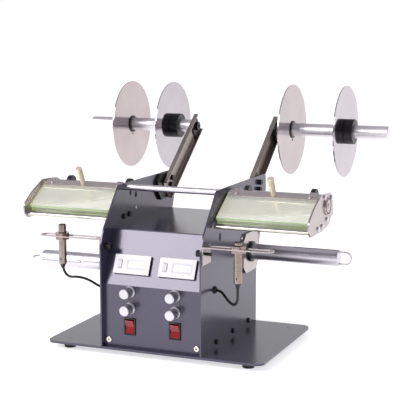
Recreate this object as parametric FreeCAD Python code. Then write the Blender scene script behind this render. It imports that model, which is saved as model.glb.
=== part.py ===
"""Two-lane benchtop label dispenser: one painted housing with a label lane on each side.

Lengths are millimetres. X runs to the right seen from the front, Y to the rear, Z up.
The model is built on the deck, the top face of the base plate, with Y = 0 at its front edge,
and is moved at the end so that the origin lies on the table under the middle of the machine.
"""
import FreeCAD, Part
import math
import os

V = FreeCAD.Vector

# Base plate and feet
BASE_W = 290.0
BASE_D = 194.0
BASE_T = 3.0
BASE_R = 12.0
FOOT_H = 8.0
FOOT_TOP_R = 8.8
FOOT_TIP_R = 7.2
FOOT_INSET_X = 24.0
FOOT_INSET_Y = 20.0
RAIL_H = 14.0
RAIL_W = 12.0
RAIL_T = 2.0
RAIL_INSET = 8.0

# Side plates: width over both, sheet, and the outline in Y and Z
BODY_W = 135.0
PLATE_T = 2.0
PLATE_GAP = 0.5
PLATE_D = 193.0
FRONT_H = 125.0
BROW_Y, BROW_Z = 7.0, 143.0
TOP_Z = 195.5
TOP_FRONT_Y = 52.0
TOP_REAR_Y = 230.0
REAR_TOP_Z = 173.0
WAIST_Y, WAIST_Z = 209.0, 120.0
KNEE_Z = 69.0
BROW_R = 40.0
CORNER_R = 6.0
HIP_R = 60.0
SIGHT_Y, SIGHT_Z, SIGHT_R = 85.3, 181.0, 3.2
ACCESS_Y, ACCESS_Z, ACCESS_LEN, ACCESS_R = 61.8, 137.0, 5.0, 2.5
DOT_SCREW_AT = (137.2, 122.0)
DOT_SCREW_R = 1.2

# Housing between the plates
PANEL_T = 1.5
PANEL_Y = 8.0
CREASE_Z = 78.2
SLOPE_TOP_Y = 36.5
COVER_Z = 142.0
PANEL_LIP = 12.0
REAR_INSET = 2.0

# Counters, knobs and rocker switches on the front
STATION_X = 30.3
COUNTER_W = 48.0
COUNTER_H = 24.0
COUNTER_PROUD = 3.5
COUNTER_BODY = (44.0, 21.0, 22.0)
COUNTER_UP = 26.0
WINDOW_W = 24.0
WINDOW_H = 9.0
WINDOW_OFF = 6.5
WINDOW_DEEP = 0.8
RESET_W = 5.0
RESET_H = 9.0
RESET_OFF = -16.0
RESET_PROUD = 1.6
RESET_TRAVEL = 1.4
RESET_LEN = 9.0
BODY_GAP = 0.3
KNOB_R = 6.6
KNOB_SKIRT_R = 7.6
KNOB_SKIRT_T = 3.0
KNOB_LEN = 17.6
KNOB_FLUTES = 20
FLUTE_R = 0.55
SPINDLE_R = 3.0
SPINDLE_FIT = 0.05
SPINDLE_LEN = 8.0
POT_R = 8.0
SPEED_Z = 71.0
DELAY_Z = 50.0
SWITCH_W = 15.6
SWITCH_H = 21.4
SWITCH_PROUD = 2.0
SWITCH_Z = 27.0
SWITCH_DEPTH = 18.0
SWITCH_EDGE = 1.0
PIN_REACH = 1.0
ROCKER_W = 11.4
ROCKER_H = 17.0
ROCKER_TILT = 7.0
ROCKER_PIVOT_IN = 3.0
ROCKER_CREST = 4.6
ROCKER_PIN_R = 1.5
ROCKER_SWING_GAP = 0.9

# Reel: axis, discs, hubs, shaft; what ends in OUT is measured out from a side plate
REEL_Y, REEL_Z = 286.5, 250.5
SHAFT_R = 9.0
SHAFT_OUT = 154.5
DISC_R = 62.0
DISC_T = 1.5
HUB_R = 17.0
HUB_LEN = 12.0
SPIGOT_R = 12.0
SPIGOT_PROUD = 1.2
SLIDE_FIT = 0.05
INNER_DISC_OUT = {"left": 25.5, "right": 17.5}
OUTER_DISC_OUT = {"left": 92.5, "right": 95.5}

# Reel arms: one folded channel used on both sides, open towards +X, bolted to the side plate
ARM_ANGLE = 37.6
ARM_W = 29.5
ARM_DEPTH = 7.0
ARM_T = 1.5
ARM_FOLD_R = 2.5
ARM_TOP = 9.5
ARM_FOOT = 129.0
ARM_GAP = 0.5
ARM_BOLTS = ((-105.0, 0.5), (-113.0, -5.0))
BOLT_R = 2.0
BOLT_HEAD_R = 3.6
BOLT_HEAD_H = 4.2
HEX_R = 1.8
NUT_R = 4.0
AXLE_R = 4.0
AXLE_HEAD_R = 6.5
AXLE_HEAD_H = 4.0
AXLE_DEEP = 60.0
WASHER_T = 0.7

# Black packing blocks at the arm feet and bearing blocks at the arm tops
PACKER_T = 4.0
PACKER = ((161.0, 172.0), (161.0, 186.0), (171.0, 195.0), (222.0, 195.0), (227.5, 189.5),
          (227.5, 174.0), (216.0, 160.0), (172.0, 160.0))
FILLER_LEN = 30.0
FILLER_FIT = 0.3
BEARING_BLOCK_LEN = 21.0
BEARING_BLOCK_T = 2.0

# Peel unit: the guard plane starts at its low front edge and rises to the rear
LANE_GAP = 2.0
LANE_W = 120.0
GUARD_Y, GUARD_Z = 43.9, 161.1
GUARD_TILT = 31.0
GUARD_LEN = 50.0
GUARD_T = 4.0
STRIP_AT = 41.5
STRIP_LEN = 10.0
STRIP_T = 2.0
STRIP_INSET_X = 3.5
STRIP_SCREW_U = 5.0
STRIP_SCREW_INSET_X = 12.7
LUG_W = 8.0
LUG_INSET = 4.0
PIVOT_U, PIVOT_V = 54.9, -1.0
PIVOT_R = 2.5
LUG_R = 4.3
PEG_R = 4.3
PEG_LEN = 26.0
PEG_TAPER = 1.1
PEG_U = 4.5
TABLE_NOSE = -11.0
TABLE_END = 44.0
TABLE_TOP = -1.0
TABLE_T = 2.5
NOSE_T = 4.6
NOSE_LEN = 5.0
TABLE_LIP = 8.0
TABLE_TAB_FROM = 10.0
END_PLATE_CORNERS = [  # Y, Z and radius of each corner
    (30.0, 155.0, 5.0), (38.0, 148.5, 6.0), (84.0, 148.5, 20.0), (113.0, 152.5, 10.0),
    (119.5, 160.0, 4.0), (131.0, 164.0, 2.0), (129.0, 171.0, 2.0), (127.5, 183.0, 10.0),
    (119.0, 191.5, 12.0), (79.0, 193.5, 14.0), (51.0, 181.0, 30.0), (30.0, 167.0, 8.0)]
END_PLATE_T = 2.0
ROD_HEAD_R = 3.4
ROD_HEAD_T = 1.6
GUIDE_ROD_Y, GUIDE_ROD_Z, GUIDE_ROD_R = 119.5, 184.6, 3.5
LINER_ROD_Y, LINER_ROD_Z, LINER_ROD_R = 102.0, 160.0, 3.5
PEG_OFF = 1.0
SHEET_SCREW_R = 1.5
SPACER_R = 4.0
SPACER_HEAD_R = 3.5
SPACER_HEAD_T = 2.0
SPACERS = ((65.6, 153.8), (81.8, 154.5))
ROLLER_Y, ROLLER_Z, ROLLER_R = 101.0, 177.0, 10.0
JOURNAL_R = 4.0
BEARING_FIT = 0.05
CAP_R = 11.0
CAP_T = 2.5
WEB_COLLAR_R = 10.0
WEB_COLLAR_T = 6.0
WEB_COLLARS = (83.0, 170.0)
TIE_Y, TIE_Z, TIE_R = 75.5, 190.0, 4.0

# Take-up mandrels, staggered so that the two gearmotors clear each other
MANDREL = {"left": (79.0, 88.5), "right": (166.0, 100.0)}
MANDREL_R = 10.5
BUSH_R = 13.5
BUSH_T = 3.2
MANDREL_OUT = 122.5
CLIP_WIRE_R = 1.25
CLIP_SPREAD = 8.2
CLIP_LEG = 58.0
CLIP_TURN = {"left": 90.0, "right": 9.0}
MOUTH_PLATE_T = 3.0
MOUTH_PLATE_Y = 56.0
MOUTH_PLATE_Z = 52.0
MOUTH_CHAMFER = 9.0
DRIVE_R = 4.0
DRIVE_LEN = 12.0
DRIVE_ROOM = 1.0
GEARBOX_R = 18.0
GEARBOX_LEN = 24.0
MOTOR_R = 15.0
MOTOR_LEN = 32.0

# Label sensors on slotted brackets
SENSOR_R = 5.0
SENSOR_LEN = 50.0
SENSOR_Y = 12.0
SENSOR_OUT = {"left": 57.5, "right": 42.5}
SENSOR_LOW_Z = {"left": 98.0, "right": 92.0}
BRACKET_T = 1.5
BRACKET_Z = 134.5
BRACKET_OUT = 87.5
BRACKET_Y0, BRACKET_Y1 = 3.0, 21.0
BRACKET_LEG_Y = 28.0
BRACKET_LEG_Z = 112.0
BRACKET_SCREW_Y, BRACKET_SCREW_Z = 12.8, 124.7
THUMB_R = 4.2
THUMB_LEN = 8.5
THUMB_FLUTES = 12
THUMB_END = {"left": 2.0, "right": 7.5}
SLOT_HALF = 5.2
SLOT_OUT = 12.5
NUT_FLATS = 17.0
NUT_H = 3.4
CABLE_R = 1.6
GROMMET_AT = {"left": (36.0, 64.0), "right": (44.5, 74.0)}
GROMMET_R = 4.5
GROMMET_T = 2.2

# Screws
SIDE_SCREW_Y = (50.0, 107.0, 164.0)
SIDE_SCREW_Z = 7.0
SIDE_SCREW_R = 2.0
SIDE_HEAD_R = 3.4
SIDE_HEAD_H = 2.2
PAN_R = 3.8
PAN_H = 2.0
PAN_SHANK_R = 2.0
STUD_R = 2.0
STUD_LEN = FOOT_H / 2.0
PANEL_SCREW_INSET = 6.5
PANEL_SCREW_Z = 8.0

# Power inlet and control board
INLET_W = 48.0
INLET_H = 26.0
INLET_T = 3.0
INLET_BODY = (30.0, 22.0, 20.0)
INLET_Z = 36.0
INLET_WALL = 3.0
PIN_PITCH = 7.0
PIN_LIFT = 2.0
PIN_LEN = 12.0
BOARD_W = 100.0
BOARD_D = 60.0
BOARD_T = 1.6
BOARD_Y = 60.0
BOARD_PARTS = [  # X, Y from the board's edge, width, depth and height
    (-30.0, 12.0, 24.0, 20.0, 18.0), (8.0, 10.0, 16.0, 16.0, 6.0),
    (34.0, 30.0, 12.0, 22.0, 14.0), (-20.0, 40.0, 30.0, 10.0, 8.0)]
STANDOFF_H = 8.0
STANDOFF_R = 3.0

# What follows from the sizes above
HALF = BODY_W / 2.0
INSIDE = HALF - PLATE_T
PLATE_Y0 = PLATE_GAP
PLATE_Y1 = PLATE_GAP + PLATE_D
SLOPE = math.degrees(math.atan2(SLOPE_TOP_Y - PANEL_Y, COVER_Z - CREASE_Z))
ARM_X0 = {"left": -(INSIDE - PACKER_T), "right": INSIDE - ARM_GAP - ARM_DEPTH}
REEL_ROOT_X = {"left": INSIDE - PACKER_T, "right": INSIDE - ARM_GAP}
SHAFT_END_X = HALF + SHAFT_OUT
INNER_DISC_X = {side: HALF + out for side, out in INNER_DISC_OUT.items()}
OUTER_DISC_X = {side: HALF + out for side, out in OUTER_DISC_OUT.items()}
LANE_X = HALF + LANE_GAP
PEG_X = LANE_X + LANE_W / 2.0 + PEG_OFF
MANDREL_END_X = HALF + MANDREL_OUT
SENSOR_X = {side: HALF + out for side, out in SENSOR_OUT.items()}
BRACKET_END_X = HALF + BRACKET_OUT
SLOT_FROM_X = HALF + SLOT_OUT
PANEL_SCREW_X = INSIDE - PANEL_SCREW_INSET
KNOB_TIP_Y = PANEL_Y - KNOB_LEN
MIDDLE_Y = (KNOB_TIP_Y + REEL_Y + DISC_R) / 2.0
DECK_Z = FOOT_H + BASE_T
OUT_X = V(1, 0, 0)
SIDES = (("left", -1), ("right", 1))

os.makedirs("parts", exist_ok=True)


def save(name, *solids):
    """Write one node, moved from the deck to the machine's own origin."""
    shape = solids[0] if len(solids) == 1 else Part.makeCompound(list(solids))
    shape = shape.copy()
    shape.translate(V(0, -MIDDLE_Y, DECK_Z))
    shape.exportStep("parts/" + name + ".step")


def mirrored(shape, sign):
    """The piece as built for the right lane, or its mirror image for the left one."""
    return shape if sign > 0 else shape.mirror(V(0, 0, 0), OUT_X)


def box(x0, x1, y0, y1, z0, z1):
    return Part.makeBox(x1 - x0, y1 - y0, z1 - z0, V(x0, y0, z0))


def rod(r, x0, x1, y, z):
    """A round bar along X."""
    return Part.makeCylinder(r, x1 - x0, V(x0, y, z), OUT_X)


def post(r, x, y, z0, z1):
    return Part.makeCylinder(r, z1 - z0, V(x, y, z0), V(0, 0, 1))


def rounded_wire(points, radii):
    """A closed wire through the points, with a tangent arc of the given radius at each."""
    count = len(points)
    starts, ends, arcs = [], [], []
    for i, here in enumerate(points):
        before = (points[i - 1] - here).normalize()
        after = (points[(i + 1) % count] - here).normalize()
        r = radii[i]
        if r <= 0:
            starts.append(here)
            ends.append(here)
            arcs.append(None)
            continue
        half = before.getAngle(after) / 2.0
        reach = r / math.tan(half)
        centre = here + (before + after).normalize() * (r / math.sin(half))
        a, b = here + before * reach, here + after * reach
        middle = centre + (here - centre).normalize() * r
        starts.append(a)
        ends.append(b)
        arcs.append(Part.Arc(a, middle, b).toShape())
    edges = []
    for i in range(count):
        if arcs[i]:
            edges.append(arcs[i])
        a, b = ends[i], starts[(i + 1) % count]
        if (b - a).Length > 1e-6:
            edges.append(Part.LineSegment(a, b).toShape())
    return Part.Wire(edges)


def side_prism(outline, x0, x1, radii=None):
    """A flat piece whose outline is given in Y and Z, from x0 to x1."""
    points = [V(x0, y, z) for y, z in outline]
    wire = rounded_wire(points, radii or [0] * len(points))
    return Part.Face(wire).extrude(V(x1 - x0, 0, 0))


def sheet_outline(path, t):
    """The outline of a folded sheet: the path and its offset by t to the left of travel."""
    offset = []
    for i, (y, z) in enumerate(path):
        normals = []
        for a, b in ((i - 1, i), (i, i + 1)):
            if a >= 0 and b < len(path):
                dy, dz = path[b][0] - path[a][0], path[b][1] - path[a][1]
                length = math.hypot(dy, dz)
                normals.append((-dz / length, dy / length))
        ny, nz = sum(n[0] for n in normals), sum(n[1] for n in normals)
        scale = t * len(normals) / (ny * ny + nz * nz) if len(normals) == 2 else t
        offset.append((y + ny * scale, z + nz * scale))
    return path + offset[::-1]


def turned(shape, y, z, degrees):
    """Turn about the X line through y, z; positive lifts what lies to the rear."""
    shape = shape.copy()
    shape.rotate(V(0, y, z), OUT_X, degrees)
    return shape


# The guard plane: u runs up the slope to the rear, v stands off its upper side
U = (math.cos(math.radians(GUARD_TILT)), math.sin(math.radians(GUARD_TILT)))


def guard_box(x0, x1, u0, u1, v0, v1):
    """A block that lies along the guard plane."""
    flat = box(x0, x1, GUARD_Y + u0, GUARD_Y + u1, GUARD_Z + v0, GUARD_Z + v1)
    return turned(flat, GUARD_Y, GUARD_Z, GUARD_TILT)


def guard_point(u, v):
    return GUARD_Y + u * U[0] - v * U[1], GUARD_Z + u * U[1] + v * U[0]


# The arm plane: s runs up the arm and is 0 at the reel axis, t stands off to the front
A = (math.cos(math.radians(ARM_ANGLE)), math.sin(math.radians(ARM_ANGLE)))


def arm_point(s, t):
    return REEL_Y + s * A[0] - t * A[1], REEL_Z + s * A[1] + t * A[0]


def arm_box(x0, x1, s0, s1, t0, t1):
    flat = box(x0, x1, REEL_Y + s0, REEL_Y + s1, REEL_Z + t0, REEL_Z + t1)
    return turned(flat, REEL_Y, REEL_Z, ARM_ANGLE)


ARM_SCREWS = [arm_point(s, t) for s, t in ARM_BOLTS]
GUARD_PIVOT = guard_point(PIVOT_U, PIVOT_V)
LANE_END = LANE_X + LANE_W
BUSH_X = HALF + MOUTH_PLATE_T
MANDREL_START_X = BUSH_X + BUSH_T + BODY_GAP
CAP_FACE_X = LANE_END + END_PLATE_T


def base_plate():
    """Rounded deck with welded studs for the feet, and two rails that carry the side plates."""
    x, y = BASE_W / 2.0, BASE_D
    corners = [V(-x, 0, -BASE_T), V(x, 0, -BASE_T), V(x, y, -BASE_T), V(-x, y, -BASE_T)]
    deck = Part.Face(rounded_wire(corners, [BASE_R] * 4)).extrude(V(0, 0, BASE_T))
    y0, y1 = PANEL_Y + PANEL_T + RAIL_INSET, PLATE_Y1 - REAR_INSET - PANEL_T - RAIL_INSET
    for sign in (-1, 1):
        wall = box(INSIDE - RAIL_T, INSIDE, y0, y1, 0, RAIL_H)
        foot = box(INSIDE - RAIL_W, INSIDE, y0, y1, 0, RAIL_T)
        rail = wall.fuse(foot)
        for screw_y in SIDE_SCREW_Y:
            rail = rail.cut(rod(SIDE_SCREW_R, INSIDE - RAIL_T, INSIDE, screw_y, SIDE_SCREW_Z))
        deck = deck.fuse(mirrored(rail, sign))
    for fx, fy in foot_places():
        deck = deck.fuse(post(STUD_R, fx, fy, -BASE_T - STUD_LEN, -BASE_T))
    return deck.removeSplitter()


def foot_places():
    x = BASE_W / 2.0 - FOOT_INSET_X
    return [(sx * x, fy) for sx in (-1, 1) for fy in (FOOT_INSET_Y, BASE_D - FOOT_INSET_Y)]


def foot(x, y):
    low, high = -BASE_T - FOOT_H, -BASE_T
    cone = Part.makeCone(FOOT_TIP_R, FOOT_TOP_R, FOOT_H, V(x, y, low))
    return cone.cut(post(STUD_R, x, y, high - STUD_LEN, high))


def pan_screw(at, out, shank, head_r=PAN_R, head_h=PAN_H, r=PAN_SHANK_R):
    """Domed head standing on a face, with its shank going in."""
    head = Part.makeCylinder(head_r, head_h, at, out)
    rim = [e for e in head.Edges if abs((e.CenterOfMass - at).dot(out) - head_h) < 1e-6]
    head = head.makeFillet(head_h * 0.45, rim)
    return head.fuse(Part.makeCylinder(r, shank, at, out * -1)).removeSplitter()


def plate_outline():
    return [(PLATE_Y0, 0), (PLATE_Y0, FRONT_H), (BROW_Y, BROW_Z), (TOP_FRONT_Y, TOP_Z),
            (TOP_REAR_Y, TOP_Z), (TOP_REAR_Y + PLATE_GAP, REAR_TOP_Z), (WAIST_Y, WAIST_Z),
            (PLATE_Y1 + PLATE_GAP, KNEE_Z), (PLATE_Y1, 0)]


def side_plate(side, sign):
    radii = [0, BROW_R, BROW_R, CORNER_R, CORNER_R, CORNER_R, HIP_R, HIP_R, 0]
    plate = side_prism(plate_outline(), INSIDE, HALF, radii)
    cuts = [rod(SIDE_SCREW_R, INSIDE, HALF, y, SIDE_SCREW_Z) for y in SIDE_SCREW_Y]
    cuts += [rod(BOLT_R, INSIDE, HALF, y, z) for y, z in ARM_SCREWS]
    cuts += [rod(PAN_SHANK_R, INSIDE, HALF, y, z) for y, z in lane_rods()]
    cuts += [rod(JOURNAL_R + BEARING_FIT, INSIDE, HALF, ROLLER_Y, ROLLER_Z)]
    cuts += [rod(DRIVE_R + DRIVE_ROOM, INSIDE, HALF, *MANDREL[side])]
    cuts += [rod(GROMMET_R - 1.0, INSIDE, HALF, *GROMMET_AT[side])]
    cuts += [rod(SIDE_SCREW_R, INSIDE, HALF, BRACKET_SCREW_Y, BRACKET_SCREW_Z)]
    cuts += [rod(SIGHT_R, INSIDE, HALF, SIGHT_Y, SIGHT_Z)]
    if side == "right":
        cuts += [access_slot(), rod(DOT_SCREW_R, INSIDE, HALF, *DOT_SCREW_AT)]
    for cut in cuts:
        plate = plate.cut(cut)
    return mirrored(plate, sign)


def access_slot():
    """Upright slot low on the lane side of the right plate."""
    half = ACCESS_LEN / 2.0
    ends = [rod(ACCESS_R, INSIDE, HALF, ACCESS_Y, ACCESS_Z + d) for d in (-half, half)]
    middle = box(INSIDE, HALF, ACCESS_Y - ACCESS_R, ACCESS_Y + ACCESS_R, ACCESS_Z - half, ACCESS_Z + half)
    return ends[0].fuse(ends[1]).fuse(middle)


def lane_rods():
    """Centres of the screwed rods that hold a lane's end plate off the side plate."""
    return list(SPACERS) + [(GUIDE_ROD_Y, GUIDE_ROD_Z), (LINER_ROD_Y, LINER_ROD_Z), GUARD_PIVOT]


def on_slope(x, up, out):
    """A point of the sloping panel: up from the crease, out from its face."""
    a = math.radians(SLOPE)
    return V(x, PANEL_Y + up * math.sin(a) - out * math.cos(a),
             CREASE_Z + up * math.cos(a) + out * math.sin(a))


def slope_box(x, w, up, h, out0, out1):
    """A block square to the sloping panel, centred at x and up."""
    block = box(x - w / 2.0, x + w / 2.0, PANEL_Y - out1, PANEL_Y - out0,
                CREASE_Z + up - h / 2.0, CREASE_Z + up + h / 2.0)
    return turned(block, PANEL_Y, CREASE_Z, -SLOPE)


def front_panel():
    """Front sheet, bent at the crease and lipped under the cover, with its cut-outs and bosses."""
    path = [(SLOPE_TOP_Y + PANEL_LIP, COVER_Z), (SLOPE_TOP_Y, COVER_Z), (PANEL_Y, CREASE_Z), (PANEL_Y, 0)]
    panel = side_prism(sheet_outline(path, PANEL_T), -INSIDE, INSIDE)
    for x in (-STATION_X, STATION_X):
        w, h, _ = COUNTER_BODY
        panel = panel.cut(slope_box(x, w, COUNTER_UP, h, -3 * PANEL_T, PANEL_T))
        sw, sh = SWITCH_W / 2.0 - SWITCH_EDGE, SWITCH_H / 2.0 - SWITCH_EDGE
        panel = panel.cut(box(x - sw, x + sw, PANEL_Y, PANEL_Y + PANEL_T, SWITCH_Z - sh, SWITCH_Z + sh))
        for z in (SPEED_Z, DELAY_Z):
            depth = PANEL_T + SPINDLE_LEN
            hole = Part.makeCylinder(SPINDLE_R + SPINDLE_FIT, depth, V(x, PANEL_Y, z), V(0, 1, 0))
            boss = Part.makeCylinder(POT_R, SPINDLE_LEN, V(x, PANEL_Y + PANEL_T, z), V(0, 1, 0))
            lift = z + POT_R - CREASE_Z
            if lift > 0:
                above = box(x - POT_R, x + POT_R, PANEL_Y, PANEL_Y + POT_R * 2, CREASE_Z, CREASE_Z + POT_R)
                boss = boss.cut(above)
            panel = panel.fuse(boss).cut(hole)
    for x in (-PANEL_SCREW_X, PANEL_SCREW_X):
        at = V(x, PANEL_Y, PANEL_SCREW_Z)
        panel = panel.cut(Part.makeCylinder(PAN_SHANK_R, PANEL_T, at, V(0, 1, 0)))
    return panel.removeSplitter()


def rear_edge(z):
    """Y of the side plates' rear edge at a height, on the straight stretches."""
    if z <= KNEE_Z:
        return PLATE_Y1
    return PLATE_Y1 + (WAIST_Y - PLATE_Y1) * (z - KNEE_Z) / (WAIST_Z - KNEE_Z)


def rear_cover():
    """Top cover and rear panel in one bent sheet, with the inlet's cut-out."""
    y_low, y_top = PLATE_Y1 - REAR_INSET, rear_edge(COVER_Z) - REAR_INSET
    path = [(y_low, 0), (y_low, KNEE_Z), (y_top, COVER_Z + PANEL_T), (SLOPE_TOP_Y, COVER_Z + PANEL_T)]
    cover = side_prism(sheet_outline(path, PANEL_T), -INSIDE, INSIDE)
    w, h, _ = INLET_BODY
    return cover.cut(box(-w / 2.0, w / 2.0, y_low - PANEL_T, y_low, INLET_Z - h / 2.0, INLET_Z + h / 2.0))


def power_inlet():
    y = PLATE_Y1 - REAR_INSET
    w, h, d = INLET_BODY
    fw, fh = INLET_W / 2.0, INLET_H / 2.0
    flange = box(-fw, fw, y, y + INLET_T, INLET_Z - fh, INLET_Z + fh)
    edges = [e for e in flange.Edges if abs(e.Vertexes[0].Point.y - e.Vertexes[-1].Point.y) > 1.0]
    flange = flange.makeFillet(INLET_T, edges)
    body = box(-w / 2.0, w / 2.0, y - d, y, INLET_Z - h / 2.0, INLET_Z + h / 2.0)
    wall = INLET_WALL
    socket = box(wall - w / 2.0, w / 2.0 - wall, y - d + wall, y + INLET_T,
                 INLET_Z - h / 2.0 + wall, INLET_Z + h / 2.0 - wall)
    inlet = flange.fuse(body).cut(socket)
    for x, lift in ((-PIN_PITCH, -PIN_LIFT), (0, PIN_LIFT), (PIN_PITCH, -PIN_LIFT)):
        z = INLET_Z + lift
        pin = box(x - 1.0, x + 1.0, y - d + wall, y - d + wall + PIN_LEN, z - 2.0, z + 2.0)
        inlet = inlet.fuse(pin)
    return inlet.removeSplitter()


def control_board():
    z = STANDOFF_H
    board = box(-BOARD_W / 2.0, BOARD_W / 2.0, BOARD_Y, BOARD_Y + BOARD_D, z, z + BOARD_T)
    for sx in (-1, 1):
        for y in (BOARD_Y + STANDOFF_R * 2, BOARD_Y + BOARD_D - STANDOFF_R * 2):
            board = board.fuse(post(STANDOFF_R, sx * (BOARD_W / 2.0 - STANDOFF_R * 2), y, 0, z))
    for x, dy, w, d, h in BOARD_PARTS:
        board = board.fuse(box(x, x + w, BOARD_Y + dy, BOARD_Y + dy + d, z + BOARD_T, z + BOARD_T + h))
    return board.removeSplitter()


def counter(x):
    """Panel counter: raised bezel with a sunk window, and its case behind the panel."""
    w, h, d = COUNTER_BODY
    bezel = slope_box(x, COUNTER_W, COUNTER_UP, COUNTER_H, 0, COUNTER_PROUD)
    out = on_slope(0, 0, 1) - on_slope(0, 0, 0)
    face = on_slope(x, COUNTER_UP, COUNTER_PROUD)
    rim = [e for e in bezel.Edges if (e.CenterOfMass - face).dot(out) > -1e-6]
    bezel = bezel.makeFillet(0.8, rim)
    case = slope_box(x, w, COUNTER_UP, h, -d, 0)
    sunk = COUNTER_PROUD - WINDOW_DEEP
    window = slope_box(x + WINDOW_OFF, WINDOW_W, COUNTER_UP, WINDOW_H, sunk, COUNTER_PROUD)
    well = slope_box(x + RESET_OFF, RESET_W + 2 * BODY_GAP, COUNTER_UP, RESET_H + 2 * BODY_GAP,
                     RESET_PROUD - RESET_LEN - RESET_TRAVEL + COUNTER_PROUD - BODY_GAP, COUNTER_PROUD)
    return bezel.fuse(case).cut(window).cut(well).removeSplitter()


def reset_button(x):
    button = slope_box(x + RESET_OFF, RESET_W, COUNTER_UP, RESET_H,
                       COUNTER_PROUD + RESET_PROUD - RESET_LEN, COUNTER_PROUD + RESET_PROUD)
    return button.makeFillet(0.5, button.Edges)


def knob(x, z):
    """Turned aluminium knob with a skirt, a fluted grip and a pointer groove."""
    profile = [(0, 0), (KNOB_SKIRT_R, 0), (KNOB_SKIRT_R, KNOB_SKIRT_T - 1.0),
               (KNOB_SKIRT_R - 0.9, KNOB_SKIRT_T), (KNOB_R, KNOB_SKIRT_T), (KNOB_R - 0.3, KNOB_LEN - 0.8),
               (KNOB_R - 1.1, KNOB_LEN), (0, KNOB_LEN)]
    points = [V(x + r, PANEL_Y - BODY_GAP - d * (KNOB_LEN - BODY_GAP) / KNOB_LEN, z) for r, d in profile]
    body = Part.Face(Part.makePolygon(points + points[:1])).revolve(V(x, 0, z), V(0, 1, 0), 360)
    groove = box(x - 0.5, x + 0.5, KNOB_TIP_Y - 0.1, KNOB_TIP_Y + 0.5, z + 1.5, z + KNOB_R + 1.0)
    body = body.cut(groove)
    flutes = []
    for i in range(KNOB_FLUTES):
        a = 2 * math.pi * (i + 0.5) / KNOB_FLUTES
        at = V(x + (KNOB_R + 0.1) * math.cos(a), KNOB_TIP_Y - 1.0, z + (KNOB_R + 0.1) * math.sin(a))
        flutes.append(Part.makeCylinder(FLUTE_R, KNOB_LEN - KNOB_SKIRT_T, at, V(0, 1, 0)))
    body = body.cut(Part.makeCompound(flutes))
    spindle = Part.makeCylinder(SPINDLE_R, SPINDLE_LEN + BODY_GAP, V(x, PANEL_Y - BODY_GAP, z), V(0, 1, 0))
    return body.fuse(spindle).removeSplitter()


def switch_bezel(x):
    """Snap-in frame with a body behind the panel and two cheeks that carry the rocker's pins."""
    w, h = SWITCH_W / 2.0, SWITCH_H / 2.0
    frame = box(x - w, x + w, PANEL_Y - SWITCH_PROUD, PANEL_Y, SWITCH_Z - h, SWITCH_Z + h)
    rim = [e for e in frame.Edges if abs(e.CenterOfMass.y - PANEL_Y + SWITCH_PROUD) < 1e-6]
    frame = frame.makeFillet(0.8, rim)
    bw, bh = w - SWITCH_EDGE, h - SWITCH_EDGE
    body = box(x - bw, x + bw, PANEL_Y, PANEL_Y + SWITCH_DEPTH, SWITCH_Z - bh, SWITCH_Z + bh)
    rw, rh = ROCKER_W / 2.0 + BODY_GAP, ROCKER_H / 2.0 + ROCKER_SWING_GAP
    back = PANEL_Y + SWITCH_DEPTH / 2.0
    well = box(x - rw, x + rw, PANEL_Y - SWITCH_PROUD, back, SWITCH_Z - rh, SWITCH_Z + rh)
    reach = rw + PIN_REACH
    pins = rod(ROCKER_PIN_R + SPINDLE_FIT, x - reach, x + reach, PANEL_Y + ROCKER_PIVOT_IN, SWITCH_Z)
    return frame.fuse(body).cut(well).cut(pins).removeSplitter()


def rocker(x):
    """Paddle with two faces that meet in a shallow valley, tipped to one side at rest."""
    y, z, h = PANEL_Y + ROCKER_PIVOT_IN, SWITCH_Z, ROCKER_H / 2.0
    crest = y - ROCKER_CREST
    front = crest + h * math.tan(math.radians(ROCKER_TILT))
    outline = [(front, z), (crest - 1.4, z + h), (y, z + h), (y + 3.0, z + 2.5), (y + 3.0, z - 2.5),
               (y, z - h), (crest - 1.4, z - h)]
    paddle = side_prism(outline, x - ROCKER_W / 2.0, x + ROCKER_W / 2.0, [0, 1.0, 0, 0, 0, 0, 1.0])
    reach = ROCKER_W / 2.0 + PIN_REACH
    pins = rod(ROCKER_PIN_R, x - reach, x + reach, y, z)
    return turned(paddle.fuse(pins).removeSplitter(), y, z, ROCKER_TILT)


def reel_arm(side):
    """Folded channel with rounded folds; its web carries the bolts and the reel axle."""
    x0, x1 = ARM_X0[side], ARM_X0[side] + ARM_DEPTH
    half = ARM_W / 2.0
    arm = arm_box(x0, x1, -ARM_FOOT, ARM_TOP, -half, half)
    arm = arm.makeFillet(ARM_FOLD_R, [e for e in arm.Edges if is_fold(e, x0)])
    hollow = arm_box(x0 + ARM_T, x1, -ARM_FOOT, ARM_TOP, ARM_T - half, half - ARM_T)
    hollow = hollow.makeFillet(ARM_FOLD_R - ARM_T, [e for e in hollow.Edges if is_fold(e, x0 + ARM_T)])
    arm = arm.cut(hollow).cut(rod(AXLE_R, x0, x1, REEL_Y, REEL_Z))
    for y, z in ARM_SCREWS:
        arm = arm.cut(rod(BOLT_R, x0, x1, y, z))
    return arm


def is_fold(edge, x):
    """The long edges of the arm blank that lie in the plane at x."""
    return edge.Length > ARM_FOOT and abs(edge.CenterOfMass.x - x) < 1e-6


def arm_packer():
    """Left foot: a plate between the side plate and the arm's web."""
    block = side_prism(PACKER, -INSIDE, PACKER_T - INSIDE)
    inner = [e for e in block.Edges if abs(e.CenterOfMass.x - PACKER_T + INSIDE) < 1e-6]
    block = block.makeChamfer(1.0, inner)
    for y, z in ARM_SCREWS:
        block = block.cut(rod(BOLT_R, -INSIDE, PACKER_T - INSIDE, y, z))
    return block


def arm_block(x0, x1, s0, s1):
    """A block that fits the channel, rounded along the web to clear the folds."""
    half = ARM_W / 2.0 - ARM_T - FILLER_FIT
    block = arm_box(x0, x1, s0, s1, -half, half)
    corners = [e for e in block.Edges
               if abs(e.CenterOfMass.x - x0) < 1e-6 and abs(e.Length - (s1 - s0)) < 1e-6]
    return block.makeFillet(ARM_FOLD_R - ARM_T, corners)


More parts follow.
